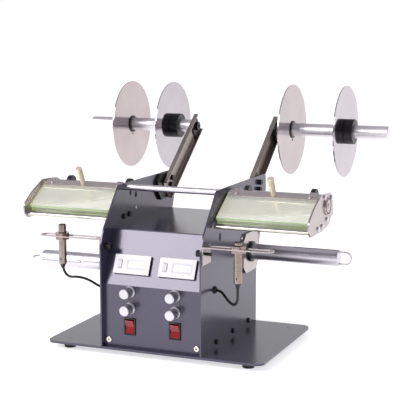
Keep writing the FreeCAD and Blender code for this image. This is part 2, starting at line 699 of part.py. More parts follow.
def arm_filler():
    """Right foot: a block that fills the channel, so that the screws can clamp it."""
    x0 = ARM_X0["right"] + ARM_T
    block = arm_block(x0, INSIDE, -ARM_FOOT, FILLER_LEN - ARM_FOOT)
    for y, z in ARM_SCREWS:
        block = block.cut(rod(BOLT_R, x0, INSIDE, y, z))
    return block


def bearing_block(side):
    """Black block in the channel's top end, behind the axle's head or under the reel shaft."""
    x0 = ARM_X0[side] + ARM_T
    x1 = x0 + BEARING_BLOCK_T if side == "left" else REEL_ROOT_X[side]
    block = arm_block(x0, x1, ARM_TOP - BEARING_BLOCK_LEN, ARM_TOP)
    return block.cut(rod(AXLE_R, x0, x1, REEL_Y, REEL_Z))


def arm_bolt(side, y, z):
    """Cap screw from outside the side plate into a nut on the arm's web."""
    head = rod(BOLT_HEAD_R, HALF, HALF + BOLT_HEAD_H, y, z)
    head = head.cut(hexagon(HEX_R, HALF + BOLT_HEAD_H / 2.0, HALF + BOLT_HEAD_H, y, z))
    web_x = REEL_ROOT_X["left"] - ARM_T if side == "left" else ARM_X0["right"]
    nut = hexagon(NUT_R, web_x - NUT_H, web_x, y, z)
    shank = rod(BOLT_R, web_x - NUT_H, HALF, y, z)
    return head.fuse(shank).fuse(nut).removeSplitter()


def hexagon(r, x0, x1, y, z):
    points = [(y + r * math.cos(math.pi * i / 3), z + r * math.sin(math.pi * i / 3)) for i in range(6)]
    return side_prism(points, x0, x1)


def reel_axle(side, sign):
    """Black shoulder bolt fixed in the arm; the reel shaft turns on its plain end."""
    root = REEL_ROOT_X[side]
    head_x = root - ARM_T - BEARING_BLOCK_T if side == "left" else ARM_X0[side]
    head = hexagon(AXLE_HEAD_R, head_x - AXLE_HEAD_H, head_x, REEL_Y, REEL_Z)
    head = head.cut(hexagon(AXLE_R * 0.6, head_x - AXLE_HEAD_H, head_x - AXLE_HEAD_H / 2.0, REEL_Y, REEL_Z))
    pin = rod(AXLE_R, head_x, root + WASHER_T + AXLE_DEEP, REEL_Y, REEL_Z)
    washer = rod(SHAFT_R - 1.0, root, root + WASHER_T, REEL_Y, REEL_Z)
    return mirrored(head.fuse(pin).fuse(washer).removeSplitter(), sign)


def reel_shaft(side, sign):
    """Bright bar that carries the discs, bored from its root to run on the axle."""
    root = REEL_ROOT_X[side] + WASHER_T
    shaft = rod(SHAFT_R, root + BODY_GAP, SHAFT_END_X, REEL_Y, REEL_Z)
    tip = [e for e in shaft.Edges if abs(e.CenterOfMass.x - SHAFT_END_X) < 1e-6]
    shaft = shaft.makeFillet(1.2, tip)
    bore = rod(AXLE_R + BEARING_FIT, root, root + AXLE_DEEP + 1.0, REEL_Y, REEL_Z)
    return mirrored(shaft.cut(bore), sign)


def reel_disc(x, sign, out):
    """Thin steel disc; out is +1 when its hub stands on the side away from the housing."""
    a, b = (x, x + DISC_T) if out < 0 else (x - DISC_T, x)
    disc = rod(DISC_R, a, b, REEL_Y, REEL_Z).cut(rod(SPIGOT_R, a, b, REEL_Y, REEL_Z))
    return mirrored(disc, sign)


def disc_hub(x, sign, out):
    """Black clamp hub with a spigot through the disc and a knurled grip."""
    face = x if out > 0 else x - HUB_LEN
    grip = rod(HUB_R, face, face + HUB_LEN, REEL_Y, REEL_Z)
    grip = grip.makeFillet(0.8, [e for e in grip.Edges if e.Closed])
    if out > 0:
        spigot = rod(SPIGOT_R, x - DISC_T - SPIGOT_PROUD, x, REEL_Y, REEL_Z)
    else:
        spigot = rod(SPIGOT_R, x, x + DISC_T + SPIGOT_PROUD, REEL_Y, REEL_Z)
    bore = rod(SHAFT_R + SLIDE_FIT, x - 2 * HUB_LEN, x + 2 * HUB_LEN, REEL_Y, REEL_Z)
    return mirrored(grip.fuse(spigot).cut(bore).removeSplitter(), sign)


def peel_table(sign):
    """Polished table under the guard, with a rolled nose and a turned-down rear."""
    low = TABLE_TOP - TABLE_T
    lip = low - TABLE_LIP
    nose_end = TABLE_NOSE + NOSE_LEN
    section = [(TABLE_NOSE, TABLE_TOP - NOSE_T), (TABLE_NOSE, TABLE_TOP), (TABLE_END, TABLE_TOP),
               (TABLE_END, lip), (TABLE_END - TABLE_T, lip), (TABLE_END - TABLE_T, low),
               (nose_end, low), (nose_end, TABLE_TOP - NOSE_T)]
    nose_r = 0.45 * NOSE_T
    radii = [nose_r, nose_r, 1.5, 0, 0, 1, 0, nose_r]
    table = side_prism([guard_point(u, v) for u, v in section], LANE_X, LANE_END, radii)
    tab = guard_box(HALF, LANE_X + TABLE_T, TABLE_TAB_FROM, TABLE_END, lip, low)
    return mirrored(table.fuse(tab).removeSplitter(), sign)


def peel_end_plate(sign):
    outline = [(y, z) for y, z, _ in END_PLATE_CORNERS]
    plate = side_prism(outline, LANE_END, CAP_FACE_X, [r for _, _, r in END_PLATE_CORNERS])
    for y, z in lane_rods():
        plate = plate.cut(rod(PAN_SHANK_R, LANE_END, CAP_FACE_X, y, z))
    plate = plate.cut(rod(JOURNAL_R + BEARING_FIT, LANE_END, CAP_FACE_X, ROLLER_Y, ROLLER_Z))
    cap = rod(CAP_R, CAP_FACE_X, CAP_FACE_X + CAP_T, ROLLER_Y, ROLLER_Z)
    cap = cap.makeFillet(1.0, [e for e in cap.Edges if e.Closed and e.CenterOfMass.x > CAP_FACE_X + 1.0])
    cap = cap.cut(rod(JOURNAL_R + BEARING_FIT, CAP_FACE_X, CAP_FACE_X + CAP_T - 1.0, ROLLER_Y, ROLLER_Z))
    return mirrored(plate.fuse(cap).removeSplitter(), sign)


def lane_rod_radii():
    return [SPACER_R, SPACER_R, GUIDE_ROD_R, LINER_ROD_R, PIVOT_R]


def lane_rod_solids(sign):
    """Round rods from the side plate to the end plate, each with a screw head on the end plate."""
    solids = []
    for (y, z), r in zip(lane_rods(), lane_rod_radii()):
        bar = rod(r, HALF, LANE_END, y, z)
        root = HALF if (y, z) in SPACERS else INSIDE
        bar = bar.fuse(rod(PAN_SHANK_R, root, CAP_FACE_X, y, z))
        bar = bar.fuse(rod(ROD_HEAD_R, CAP_FACE_X, CAP_FACE_X + ROD_HEAD_T, y, z))
        solids.append(mirrored(bar.removeSplitter(), sign))
    return solids


def web_collar(x):
    collar = rod(WEB_COLLAR_R, x - WEB_COLLAR_T / 2.0, x + WEB_COLLAR_T / 2.0, GUIDE_ROD_Y, GUIDE_ROD_Z)
    collar = collar.makeFillet(0.8, [e for e in collar.Edges if e.Closed])
    return collar.cut(rod(GUIDE_ROD_R, x - WEB_COLLAR_T, x + WEB_COLLAR_T, GUIDE_ROD_Y, GUIDE_ROD_Z))


def guard_panel(sign):
    """Clear acrylic sheet over the table."""
    x0, x1 = LANE_X + BODY_GAP * 2, LANE_END - BODY_GAP * 2
    sheet = guard_box(x0, x1, 0, GUARD_LEN, 0, GUARD_T)
    for x in strip_screws():
        y, z = guard_point(STRIP_AT + STRIP_SCREW_U, 0)
        hole = Part.makeCylinder(SHEET_SCREW_R, GUARD_T, V(x, y, z), V(0, -U[1], U[0]))
        sheet = sheet.cut(hole)
    return mirrored(sheet, sign)


def strip_screws():
    return (LANE_X + STRIP_SCREW_INSET_X, LANE_END - STRIP_SCREW_INSET_X)


def guard_strip(sign):
    """Steel hinge strip clamped on the sheet, with a lug at each end round the pivot rod."""
    x0, x1 = LANE_X + STRIP_INSET_X, LANE_END - STRIP_INSET_X
    high = GUARD_T + STRIP_T
    strip = guard_box(x0, x1, STRIP_AT, STRIP_AT + STRIP_LEN, GUARD_T, high)
    y, z = GUARD_PIVOT
    for x in (x0 + LUG_INSET, x1 - LUG_INSET - LUG_W):
        lug = guard_box(x, x + LUG_W, GUARD_LEN + BODY_GAP, PIVOT_U, PIVOT_V, high)
        strip = strip.fuse(lug).fuse(rod(LUG_R, x, x + LUG_W, y, z))
    strip = strip.cut(rod(PIVOT_R + BEARING_FIT, x0, x1, y, z))
    for x in strip_screws():
        strip = strip.fuse(strip_screw(x))
    return mirrored(strip.removeSplitter(), sign)


def strip_screw(x):
    y, z = guard_point(STRIP_AT + STRIP_SCREW_U, GUARD_T + STRIP_T)
    return pan_screw(V(x, y, z), V(0, -U[1], U[0]), GUARD_T + STRIP_T, 2.8, 1.6, SHEET_SCREW_R)


def lift_peg(sign):
    """Turned handle that stands square on the strip, wider at its top."""
    y, z = guard_point(STRIP_AT + PEG_U, GUARD_T + STRIP_T)
    peg = Part.makeCone(PEG_R - PEG_TAPER, PEG_R, PEG_LEN, V(PEG_X, y, z), V(0, -U[1], U[0]))
    top = [e for e in peg.Edges if e.Closed and (e.CenterOfMass - V(PEG_X, y, z)).Length > PEG_LEN / 2.0]
    return mirrored(peg.makeFillet(1.0, top), sign)


def feed_roller(sign):
    """Rubber-covered roller between the plates, on its own journals."""
    gap = BODY_GAP * 2
    body = rod(ROLLER_R, HALF + gap, LANE_END - gap, ROLLER_Y, ROLLER_Z)
    journal = rod(JOURNAL_R, INSIDE, CAP_FACE_X + CAP_T - 1.0 - BODY_GAP, ROLLER_Y, ROLLER_Z)
    return mirrored(body.fuse(journal).removeSplitter(), sign)


def mandrel(side, sign):
    """Take-up spindle with two grooves for the clip's legs, and its drive stub."""
    y, z = MANDREL[side]
    body = rod(MANDREL_R, MANDREL_START_X, MANDREL_END_X, y, z)
    tip = [e for e in body.Edges if e.Closed and e.CenterOfMass.x > MANDREL_END_X - 1.0]
    body = body.makeFillet(0.8, tip)
    half = CLIP_WIRE_R + SLIDE_FIT
    low = CLIP_SPREAD - half
    x0 = MANDREL_END_X - CLIP_LEG - 2.0
    for sz in (-1, 1):
        groove = box(x0, MANDREL_END_X, y - half, y + half, min(sz * low, sz * 2 * MANDREL_R) + z,
                     max(sz * low, sz * 2 * MANDREL_R) + z)
        body = body.cut(turned(groove, y, z, CLIP_TURN[side]))
    stub = rod(DRIVE_R, INSIDE - DRIVE_LEN + 1.0, MANDREL_START_X, y, z)
    return mirrored(body.fuse(stub).removeSplitter(), sign)


def take_up_clip(side, sign):
    """U of spring wire: two legs in the grooves and a loop past the end."""
    y, z = MANDREL[side]
    x0, x1 = MANDREL_END_X - CLIP_LEG, MANDREL_END_X + CLIP_SPREAD
    path = Part.Wire([
        Part.LineSegment(V(x0, y, z + CLIP_SPREAD), V(x1, y, z + CLIP_SPREAD)).toShape(),
        Part.Arc(V(x1, y, z + CLIP_SPREAD), V(x1 + CLIP_SPREAD, y, z), V(x1, y, z - CLIP_SPREAD)).toShape(),
        Part.LineSegment(V(x1, y, z - CLIP_SPREAD), V(x0, y, z - CLIP_SPREAD)).toShape()])
    section = Part.Wire([Part.makeCircle(CLIP_WIRE_R, V(x0, y, z + CLIP_SPREAD), OUT_X)])
    wire = path.makePipeShell([section], True, True)
    return mirrored(turned(wire, y, z, CLIP_TURN[side]), sign)


def take_up_plate(side, sign):
    """Chamfered steel plate round the root of the mandrel."""
    y, z = MANDREL[side]
    a, b, c = MOUTH_PLATE_Y / 2.0, MOUTH_PLATE_Z / 2.0, MOUTH_CHAMFER
    outline = [(y - a + c, z - b), (y + a - c, z - b), (y + a, z - b + c), (y + a, z + b - c),
               (y + a - c, z + b), (y - a + c, z + b), (y - a, z + b - c), (y - a, z - b + c)]
    plate = side_prism(outline, HALF, HALF + MOUTH_PLATE_T)
    return mirrored(plate.cut(rod(DRIVE_R + DRIVE_ROOM, HALF, HALF + MOUTH_PLATE_T, y, z)), sign)


def mandrel_bush(side, sign):
    """Black bearing ring between the plate and the mandrel's shoulder."""
    y, z = MANDREL[side]
    bush = rod(BUSH_R, BUSH_X, BUSH_X + BUSH_T, y, z)
    bush = bush.makeFillet(0.8, [e for e in bush.Edges if e.Closed and e.CenterOfMass.x > BUSH_X + 1.0])
    return mirrored(bush.cut(rod(DRIVE_R + BEARING_FIT, BUSH_X, BUSH_X + BUSH_T, y, z)), sign)


def gearmotor(side, sign):
    y, z = MANDREL[side]
    box_x = INSIDE - GEARBOX_LEN
    case = rod(GEARBOX_R, box_x, INSIDE, y, z).fuse(rod(MOTOR_R, box_x - MOTOR_LEN, box_x, y, z))
    bore = rod(DRIVE_R + BEARING_FIT, INSIDE - DRIVE_LEN, INSIDE, y, z)
    return mirrored(case.cut(bore).removeSplitter(), sign)


def sensor_bracket(sign):
    """Folded strip: a leg on the side plate and a slotted blade across the label path."""
    x0, x1 = HALF, BRACKET_END_X
    y0, y1, z1 = BRACKET_Y0, BRACKET_Y1, BRACKET_Z
    leg = box(x0, x0 + BRACKET_T, y0, BRACKET_LEG_Y, BRACKET_LEG_Z, z1)
    middle = (y0 + y1) / 2.0
    r = (y1 - y0) / 2.0
    blade = box(x0, x1 - r, y0, y1, z1 - BRACKET_T, z1).fuse(post(r, x1 - r, middle, z1 - BRACKET_T, z1))
    slot = box(SLOT_FROM_X, x1 - r, SENSOR_Y - SLOT_HALF, SENSOR_Y + SLOT_HALF, z1 - BRACKET_T, z1)
    for x in (SLOT_FROM_X, x1 - r):
        slot = slot.fuse(post(SLOT_HALF, x, SENSOR_Y, z1 - BRACKET_T, z1))
    leg = leg.cut(rod(SIDE_SCREW_R, x0, x0 + BRACKET_T, BRACKET_SCREW_Y, BRACKET_SCREW_Z))
    return mirrored(leg.fuse(blade).cut(slot).removeSplitter(), sign)


def sensor_barrel(side, sign):
    x, z0 = SENSOR_X[side], SENSOR_LOW_Z[side]
    barrel = post(SENSOR_R, x, SENSOR_Y, z0, z0 + SENSOR_LEN)
    barrel = barrel.makeChamfer(0.6, [e for e in barrel.Edges if e.Closed])
    return mirrored(barrel, sign)


def lock_nuts(side, sign):
    x = SENSOR_X[side]
    nuts = []
    for z in (BRACKET_Z, BRACKET_Z - BRACKET_T - NUT_H):
        r = NUT_FLATS / math.sqrt(3)
        turns = [math.pi * i / 3 for i in range(7)]
        corners = [V(x + r * math.cos(a), SENSOR_Y + r * math.sin(a), z) for a in turns]
        nut = Part.Face(Part.makePolygon(corners)).extrude(V(0, 0, NUT_H))
        nuts.append(mirrored(nut.cut(post(SENSOR_R, x, SENSOR_Y, z, z + NUT_H)), sign))
    return nuts


def grommet(side, sign):
    at = GROMMET_AT[side]
    ring = rod(GROMMET_R, HALF, HALF + GROMMET_T, *at)
    ring = ring.makeFillet(0.8, [e for e in ring.Edges if e.Closed and e.CenterOfMass.x > HALF + 1.0])
    ring = ring.fuse(rod(GROMMET_R - 1.0, INSIDE - GROMMET_T, HALF, *at))
    hole = rod(CABLE_R, INSIDE - GROMMET_T, HALF + GROMMET_T, *at)
    return mirrored(ring.cut(hole), sign)


# Sensor cables, as chosen by hand: from the barrel's foot to the grommet
CABLE_ROUTE = {
    "right": [(110.0, 12.0, 92.0), (110.0, 12.0, 81.0), (109.8, 12.3, 70.5), (103.3, 17.6, 63.6),
              (92.8, 27.0, 65.2), (85.0, 36.0, 68.5), (75.0, 44.5, 74.0), (65.3, 44.5, 74.0)],
    "left": [(-125.0, 12.0, 98.0), (-125.0, 12.0, 89.9), (-117.3, 12.1, 81.2), (-105.4, 13.8, 82.6),
             (-94.5, 20.9, 78.7), (-83.6, 30.2, 68.5), (-74.5, 36.0, 64.0), (-65.3, 36.0, 64.0)],
}


def cable(side):
    """A plain tube along the route: straight runs joined by tangent arcs."""
    route = [V(*p) for p in CABLE_ROUTE[side]]
    edges, here = [], route[0]
    for i in range(1, len(route) - 1):
        back, ahead = route[i - 1] - route[i], route[i + 1] - route[i]
        turn = math.pi - back.getAngle(ahead)
        reach = 0.45 * min(back.Length, ahead.Length)
        r = reach / math.tan(turn / 2.0)
        a = route[i] + back.normalize() * reach
        b = route[i] + ahead.normalize() * reach
        centre_way = (a + b) * 0.5 - route[i]
        middle = route[i] + centre_way.normalize() * (r / math.cos(turn / 2.0) - r)
        edges += [Part.LineSegment(here, a).toShape(), Part.Arc(a, middle, b).toShape()]
        here = b
    edges.append(Part.LineSegment(here, route[-1]).toShape())
    path = Part.Wire(edges)
    section = Part.Wire([Part.makeCircle(CABLE_R, route[0], route[1] - route[0])])
    return path.makePipeShell([section], True, True)


def black_screws():
    solids = []
    for side, sign in SIDES:
        for y in SIDE_SCREW_Y:
            at = V(HALF, y, SIDE_SCREW_Z)
            screw = pan_screw(at, OUT_X, PLATE_T + RAIL_T, SIDE_HEAD_R, SIDE_HEAD_H, SIDE_SCREW_R)
            solids.append(mirrored(screw, sign))
        for y, z in ARM_SCREWS:
            solids.append(mirrored(arm_bolt(side, y, z), sign))
        for y, z in SPACERS:
            screw = rod(SPACER_HEAD_R, INSIDE - SPACER_HEAD_T, INSIDE, y, z)
            solids.append(mirrored(screw.fuse(rod(PAN_SHANK_R, INSIDE, HALF, y, z)).removeSplitter(), sign))
        solids.append(mirrored(thumb_screw(THUMB_END[side]), sign))
    return solids


def thumb_screw(end):
    """Fluted knob inside the side plate; its thread goes through the bracket's leg."""
    y, z = BRACKET_SCREW_Y, BRACKET_SCREW_Z
    knob_body = rod(THUMB_R, INSIDE - THUMB_LEN, INSIDE, y, z)
    for i in range(THUMB_FLUTES):
        a = 2 * math.pi * i / THUMB_FLUTES
        fy, fz = y + THUMB_R * math.cos(a), z + THUMB_R * math.sin(a)
        flute = rod(FLUTE_R, INSIDE - THUMB_LEN, INSIDE - 1.0, fy, fz)
        knob_body = knob_body.cut(flute)
    return knob_body.fuse(rod(SIDE_SCREW_R, INSIDE, HALF + BRACKET_T + end, y, z)).removeSplitter()


def steel_screws():
    solids = []
    for x in (-PANEL_SCREW_X, PANEL_SCREW_X):
        solids.append(pan_screw(V(x, PANEL_Y, PANEL_SCREW_Z), V(0, -1, 0), PANEL_T))
    solids.append(pan_screw(V(HALF, *DOT_SCREW_AT), OUT_X, PLATE_T, 2.0, 1.2, DOT_SCREW_R))
    return solids


def main():
    save("base_plate", base_plate())
    save("rubber_feet", *[foot(x, y) for x, y in foot_places()])
    save("front_panel", front_panel())
    save("rear_cover", rear_cover())
    save("power_inlet", power_inlet())
    save("control_board", control_board())
    save("counters", *[counter(x) for x in (-STATION_X, STATION_X)])
    save("switch_bezels", *[switch_bezel(x) for x in (-STATION_X, STATION_X)])
    save("black_screws", *black_screws())
    save("steel_screws", *steel_screws())
    save("arm_foot_blocks", arm_packer(), arm_filler())
    bushes = [mandrel_bush(side, sign) for side, sign in SIDES]
    save("bearing_blocks", *[bearing_block(side) for side, _ in SIDES], *bushes)
    save("gearmotors", *[gearmotor(side, sign) for side, sign in SIDES])
    save("take_up_plates", *[take_up_plate(side, sign) for side, sign in SIDES])
    save("peel_tables", *[peel_table(sign) for _, sign in SIDES])
    save("peel_end_plates", *[peel_end_plate(sign) for _, sign in SIDES])
    tie_rod = rod(TIE_R, -INSIDE, INSIDE, TIE_Y, TIE_Z)
    save("cross_rods", tie_rod, *lane_rod_solids(-1), *lane_rod_solids(1))
    save("web_collars", *[mirrored(web_collar(x), sign) for _, sign in SIDES for x in WEB_COLLARS])
    save("sensor_brackets", *[sensor_bracket(sign) for _, sign in SIDES])
    save("sensor_barrels", *[sensor_barrel(side, sign) for side, sign in SIDES])
    save("sensor_lock_nuts", *[nut for side, sign in SIDES for nut in lock_nuts(side, sign)])
    save("cable_grommets", *[grommet(side, sign) for side, sign in SIDES])
    for side, sign in SIDES:
        x = sign * STATION_X
        save("side_plate_" + side, side_plate(side, sign))
        save("speed_knob_" + side, knob(x, SPEED_Z))
        save("delay_knob_" + side, knob(x, DELAY_Z))
        save("power_rocker_" + side, rocker(x))
        save("reset_button_" + side, reset_button(x))
        save("reel_arm_" + side, reel_arm(side))
        save("reel_axle_" + side, reel_axle(side, sign))
        save("reel_shaft_" + side, reel_shaft(side, sign))
        save("inner_disc_" + side, reel_disc(INNER_DISC_X[side], sign, -1))
        save("inner_hub_" + side, disc_hub(INNER_DISC_X[side], sign, -1))
        save("outer_disc_" + side, reel_disc(OUTER_DISC_X[side], sign, 1))
        save("outer_hub_" + side, disc_hub(OUTER_DISC_X[side], sign, 1))
        save("guard_panel_" + side, guard_panel(sign))
        save("guard_strip_" + side, guard_strip(sign))
        save("lift_peg_" + side, lift_peg(sign))
        save("feed_roller_" + side, feed_roller(sign))
        save("take_up_mandrel_" + side, mandrel(side, sign))
        save("take_up_clip_" + side, take_up_clip(side, sign))
        save("sensor_cable_" + side, cable(side))


main()
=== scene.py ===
"""Looks of the label dispenser, laid out as a Blender add-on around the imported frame."""

import math

import bmesh
import bpy
from mathutils import Matrix, Vector


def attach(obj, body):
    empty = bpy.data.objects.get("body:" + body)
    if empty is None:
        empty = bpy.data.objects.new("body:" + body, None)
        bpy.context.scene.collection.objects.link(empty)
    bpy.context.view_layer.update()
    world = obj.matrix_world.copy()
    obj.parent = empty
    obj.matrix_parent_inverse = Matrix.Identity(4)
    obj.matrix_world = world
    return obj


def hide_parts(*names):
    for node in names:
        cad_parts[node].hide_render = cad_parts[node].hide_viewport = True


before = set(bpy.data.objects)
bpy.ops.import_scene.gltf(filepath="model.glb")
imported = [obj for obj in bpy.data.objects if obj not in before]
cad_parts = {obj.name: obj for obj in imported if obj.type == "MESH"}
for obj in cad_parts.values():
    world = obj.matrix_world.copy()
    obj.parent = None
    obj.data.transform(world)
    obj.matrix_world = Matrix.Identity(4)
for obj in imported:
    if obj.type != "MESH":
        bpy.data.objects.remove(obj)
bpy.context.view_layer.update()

bl_info = {
    "name": "Label dispenser",
    "version": (1, 1, 0),
    "blender": (4, 5, 0),
    "location": "View3D > Sidebar > Label Dispenser",
    "description": "Builds the visual pieces, finishes and stage of the label dispenser",
    "category": "Add Mesh",
}

MM = 0.001

# The drawings' frame, in mm: X right, Y to the rear from the base's front edge, Z up from the deck.
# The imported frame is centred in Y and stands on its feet.
MIDDLE_Y = 169.45
DECK_Z = 11.0
TO_FRAME = (Matrix.Translation((0.0, -MIDDLE_Y * MM, DECK_Z * MM))
            @ Matrix.Diagonal((MM, MM, MM, 1.0)))

SIDES = (("left", -1), ("right", 1))
X, Z = Vector((1, 0, 0)), Vector((0, 0, 1))
FACING_FRONT = Matrix.Rotation(math.pi / 2.0, 4, "X")

# Edges sharper than this stay sharp; rounded edges of blocks have this many segments
SHARP_ANGLE = math.radians(35.0)
BEVEL_SEGMENTS = 2
WELD = 1e-4

# Camera, as solved from the photo's edges
CAMERA_AT = (0.5912, -1.43195, 0.4130)
CAMERA_AZIMUTH = math.radians(22.17)
CAMERA_ELEVATION = math.radians(9.14)
CAMERA_LENS = 101.9
CAMERA_SENSOR = 36.0

# Sensor cables: route points, from the barrel's foot to the grommet
CABLE_RADIUS = 1.6
CABLE_ROUTES = {
    "right": ((110, 12, 92), (110, 12, 81), (109.8, 12.3, 70.5), (103.3, 17.6, 63.6),
              (92.8, 27, 65.2), (85, 36, 68.5), (75, 44.5, 74), (65.3, 44.5, 74)),
    "left": ((-125, 12, 98), (-125, 12, 89.9), (-117.3, 12.1, 81.2), (-105.4, 13.8, 82.6),
             (-94.5, 20.9, 78.7), (-83.6, 30.2, 68.5), (-74.5, 36, 64), (-65.3, 36, 64)),
}

# Clear guards: foot of the sheet in Y and Z, its tilt, length up the slope, and ends in X
GUARD_AT = (43.9, 161.1)
GUARD_TILT = math.radians(31.0)
GUARD_LENGTH = 50.0
GUARD_THICK = 4.0
GUARD_EDGE_R = 0.35
LANE_INNER = 70.1
LANE_OUTER = 188.9
ON_GUARD = Matrix.Translation((0.0, *GUARD_AT)) @ Matrix.Rotation(GUARD_TILT, 4, "X")
# A face whose normal has this much along an axis counts as facing it
FACING = 0.9

# Sloping panel: foot of the slope in Y and Z, and its lean to the rear
SLOPE_FOOT = (8.0, 78.2)
SLOPE_LEAN = math.atan2(36.5 - 8.0, 142.0 - 78.2)
ON_SLOPE = (Matrix.Translation((0.0, *SLOPE_FOOT))
            @ Matrix.Rotation(math.pi / 2.0 - SLOPE_LEAN, 4, "X"))

# Each station stands at this X, left and right: a counter, two knobs and a rocker
STATION_X = 30.3

# Counters: distance up the slope, outside size, and how far the housing stands off the panel
COUNTER_UP = 26.0
COUNTER_W, COUNTER_H, COUNTER_PROUD = 48.0, 24.0, 3.5
# Plan of a counter's face from its middle: openings in the white rails, and what lies in them
OPENING_HALF = 6.4
BUTTON_X, BUTTON_HALF = (-18.9, -13.1), 4.9
WINDOW_X = (-7.2, 20.2)
PANE_X, PANE_HALF, PANE_LAP, PANE_EDGE_R = (-5.3, 18.3), 4.3, 0.1, 0.1
# Layers of a counter's face: from and to, off the housing's front
FACE_LAYER, FRAME_LAYER, PANE_LAYER = (-0.2, 0.5), (-0.4, 0.25), (-0.7, -0.1)

# Knobs: heights above the deck
KNOB_HEIGHTS = (("speed", 71.0), ("delay", 50.0))

# Rockers: their pin in Y and Z, the tilt of the pair of faces, and the printed marks
ROCKER_AT = (11.0, 27.0)
ROCKER_TILT = math.radians(7.0)
MARK_OFF, MARK_UP, MARK_THICK = 4.07, 4.6, 0.12
MARK_LINE_HALF_W, MARK_LINE_HALF_L = 0.35, 1.6
MARK_RING_IN, MARK_RING_OUT = 1.0, 1.6

# Profiles for the lathe are (radius, distance along the axis)

# Reels: axis in Y and Z, faces of the inner and outer discs, and the screws in them
REEL_AT = (286.5, 250.5)
DISC_X = {"left": (93.0, 160.0), "right": (85.0, 163.0)}
DISC_THICK = 1.5
DISC_SCREWS = 3
DISC_SCREW_R = 14.3
DISC_SCREW_TURN = 30.0
DISC_SCREW_HEAD = ((0, -0.3), (1.3, -0.3), (1.3, 0.15), (1.0, 0.5), (0, 0.55))
ARM_TILT = math.radians(37.6)

# Bearing caps on the end plates: roller's axis in Y and Z, face of the cap, groove and dust disc
ROLLER_AT = (101.0, 177.0)
CAP_FACE_X = 194.0
CAP_DETAIL_OFF = 0.05
# The groove is a dark ring of painted shade, standing just proud of the cap's face
CAP_GROOVE = ((8.4, -0.4), (9.95, -0.4), (10.0, -0.35), (10.0, 0.07), (9.95, 0.12), (8.4, 0.12),
              (8.4, -0.4))
DUST_DISC = ((0, -0.3), (3.2, -0.3), (3.2, 0.4), (2.8, 0.7), (0, 0.7))

# Sensors: foot of each barrel, its size, and the pieces at its ends
SENSORS = {"left": (-125.0, 12.0, 98.0), "right": (110.0, 12.0, 92.0)}
SENSOR_LENGTH = 50.0
SENSOR_R = 5.0
SENSING_FACE = ((0, -0.3), (3.9, -0.3), (3.9, 0.35), (3.6, 0.6), (0, 0.6))
STRAIN_RELIEF = ((0, -5.5), (1.9, -5.5), (2.1, -5.3), (3.3, -1.2), (3.5, -0.3), (3.5, 0.3),
                 (0, 0.3))
LAMP_HALF_W, LAMP_PROUD, LAMP_SUNK, LAMP_Z, LAMP_EDGE_R = 0.7, 0.12, 0.5, (5, 8.5), 0.1

# Pan screws of the panel: X and Z, front face, and the cross recess. The two bars of a cross end
# 0.01 apart so that their faces don't coincide.
PAN_SCREWS = ((-59, 8), (59, 8))
PANEL_Y = 8.0
PAN_HEAD = 2.0
# The cross recess is drawn as two dark bars of painted shade, laid just proud of the head
CROSS_ARM, CROSS_HALF_W, CROSS_SUNK = 1.9, 0.4, 0.3
CROSS_PROUD = (0.06, 0.05)
CROSS_TURN = math.radians(35)

# Studs under the deck: X and Y, and the ring that shows through the coat
STUDS = ((-121, 20), (121, 20), (-121, 174), (121, 174))
STUD_RING = ((1.5, -0.2), (2.3, -0.2), (2.2, 0.1), (1.9, 0.18), (1.6, 0.1), (1.5, -0.2))

# Two noises add up to between these, for most of a surface
NOISE_SPAN = (0.75, 1.25)
# Sockets of a Mix node that mixes colours
MIX_FACTOR, MIX_LOW, MIX_HIGH, MIX_RESULT = 0, 6, 7, 2

# Studio: room, paper floor and key light. Fades run from and to along a direction's Y or Z.
WHITE = "#ffffff"
ROOM_FRONT, ROOM_FRONT_FADE = "#8a888e", (-0.35, 0.15)
ROOM_CEILING, ROOM_CEILING_FADE = "#b4b1b7", (0.22, 0.6)
# The paper fades from white at the near Y to grey at the far Y: painted shade in front
PAPER_PAINTED_SHADE = "#cdcbcf"
PAPER_NEAR_Y, PAPER_FAR_Y = -0.45, -1.1
FLOOR_HALF = 30.0
LIGHT_AIM = (0.0, 0.0, 0.12)
KEY_AZIMUTH, KEY_ELEVATION, KEY_FAR, KEY_SIZE = -29.0, 31.5, 1.7, (0.9, 0.8)


def linear(code):
    """An sRGB hex colour as linear RGBA."""
    values = [int(code[i:i + 2], 16) / 255.0 for i in (1, 3, 5)]
    values = [v / 12.92 if v <= 0.04045 else ((v + 0.055) / 1.055) ** 2.4 for v in values]
    return (*values, 1.0)


# Materials


def add(tree, kind, inputs=None, **settings):
    """A new shader node with its settings; an input takes a value or another node's socket."""
    made = tree.nodes.new(kind)
    for key, value in settings.items():
        setattr(made, key, value)
    for key, value in (inputs or {}).items():
        if isinstance(value, bpy.types.NodeSocket):
            tree.links.new(value, made.inputs[key])
        else:
            made.inputs[key].default_value = value
    return made


def place(tree, stretch=(1, 1, 1), turn=(0, 0, 0), shift=(0, 0, 0)):
    """Object coordinates through a mapping."""
    coords = add(tree, "ShaderNodeTexCoord")
    mapping = add(tree, "ShaderNodeMapping", {"Vector": coords.outputs["Object"],
                                              "Location": shift, "Rotation": turn,
                                              "Scale": stretch})
    return mapping.outputs["Vector"]


def ramp(tree, value, start, end, low=0.0, high=1.0):
    """A value that goes from low to high while the given one goes from start to end."""
    made = add(tree, "ShaderNodeMapRange", {"Value": value, "From Min": start, "From Max": end,
                                            "To Min": low, "To Max": high})
    return made.outputs["Result"]


def blend_colours(tree, factor, low, high):
    """A colour that goes from low to high with a factor."""
    made = add(tree, "ShaderNodeMix", {MIX_FACTOR: factor, MIX_LOW: low, MIX_HIGH: high},
               data_type="RGBA")
    return made.outputs[MIX_RESULT]


def rings_about(tree, centre, across):
    """Distance from an axis: across masks the two directions that the rings lie in."""
    at = place(tree, shift=tuple(-c for c in centre))
    flat = add(tree, "ShaderNodeVectorMath", {0: at, 1: across}, operation="MULTIPLY")
    length = add(tree, "ShaderNodeVectorMath", {0: flat.outputs["Vector"]}, operation="LENGTH")
    return length.outputs["Value"]


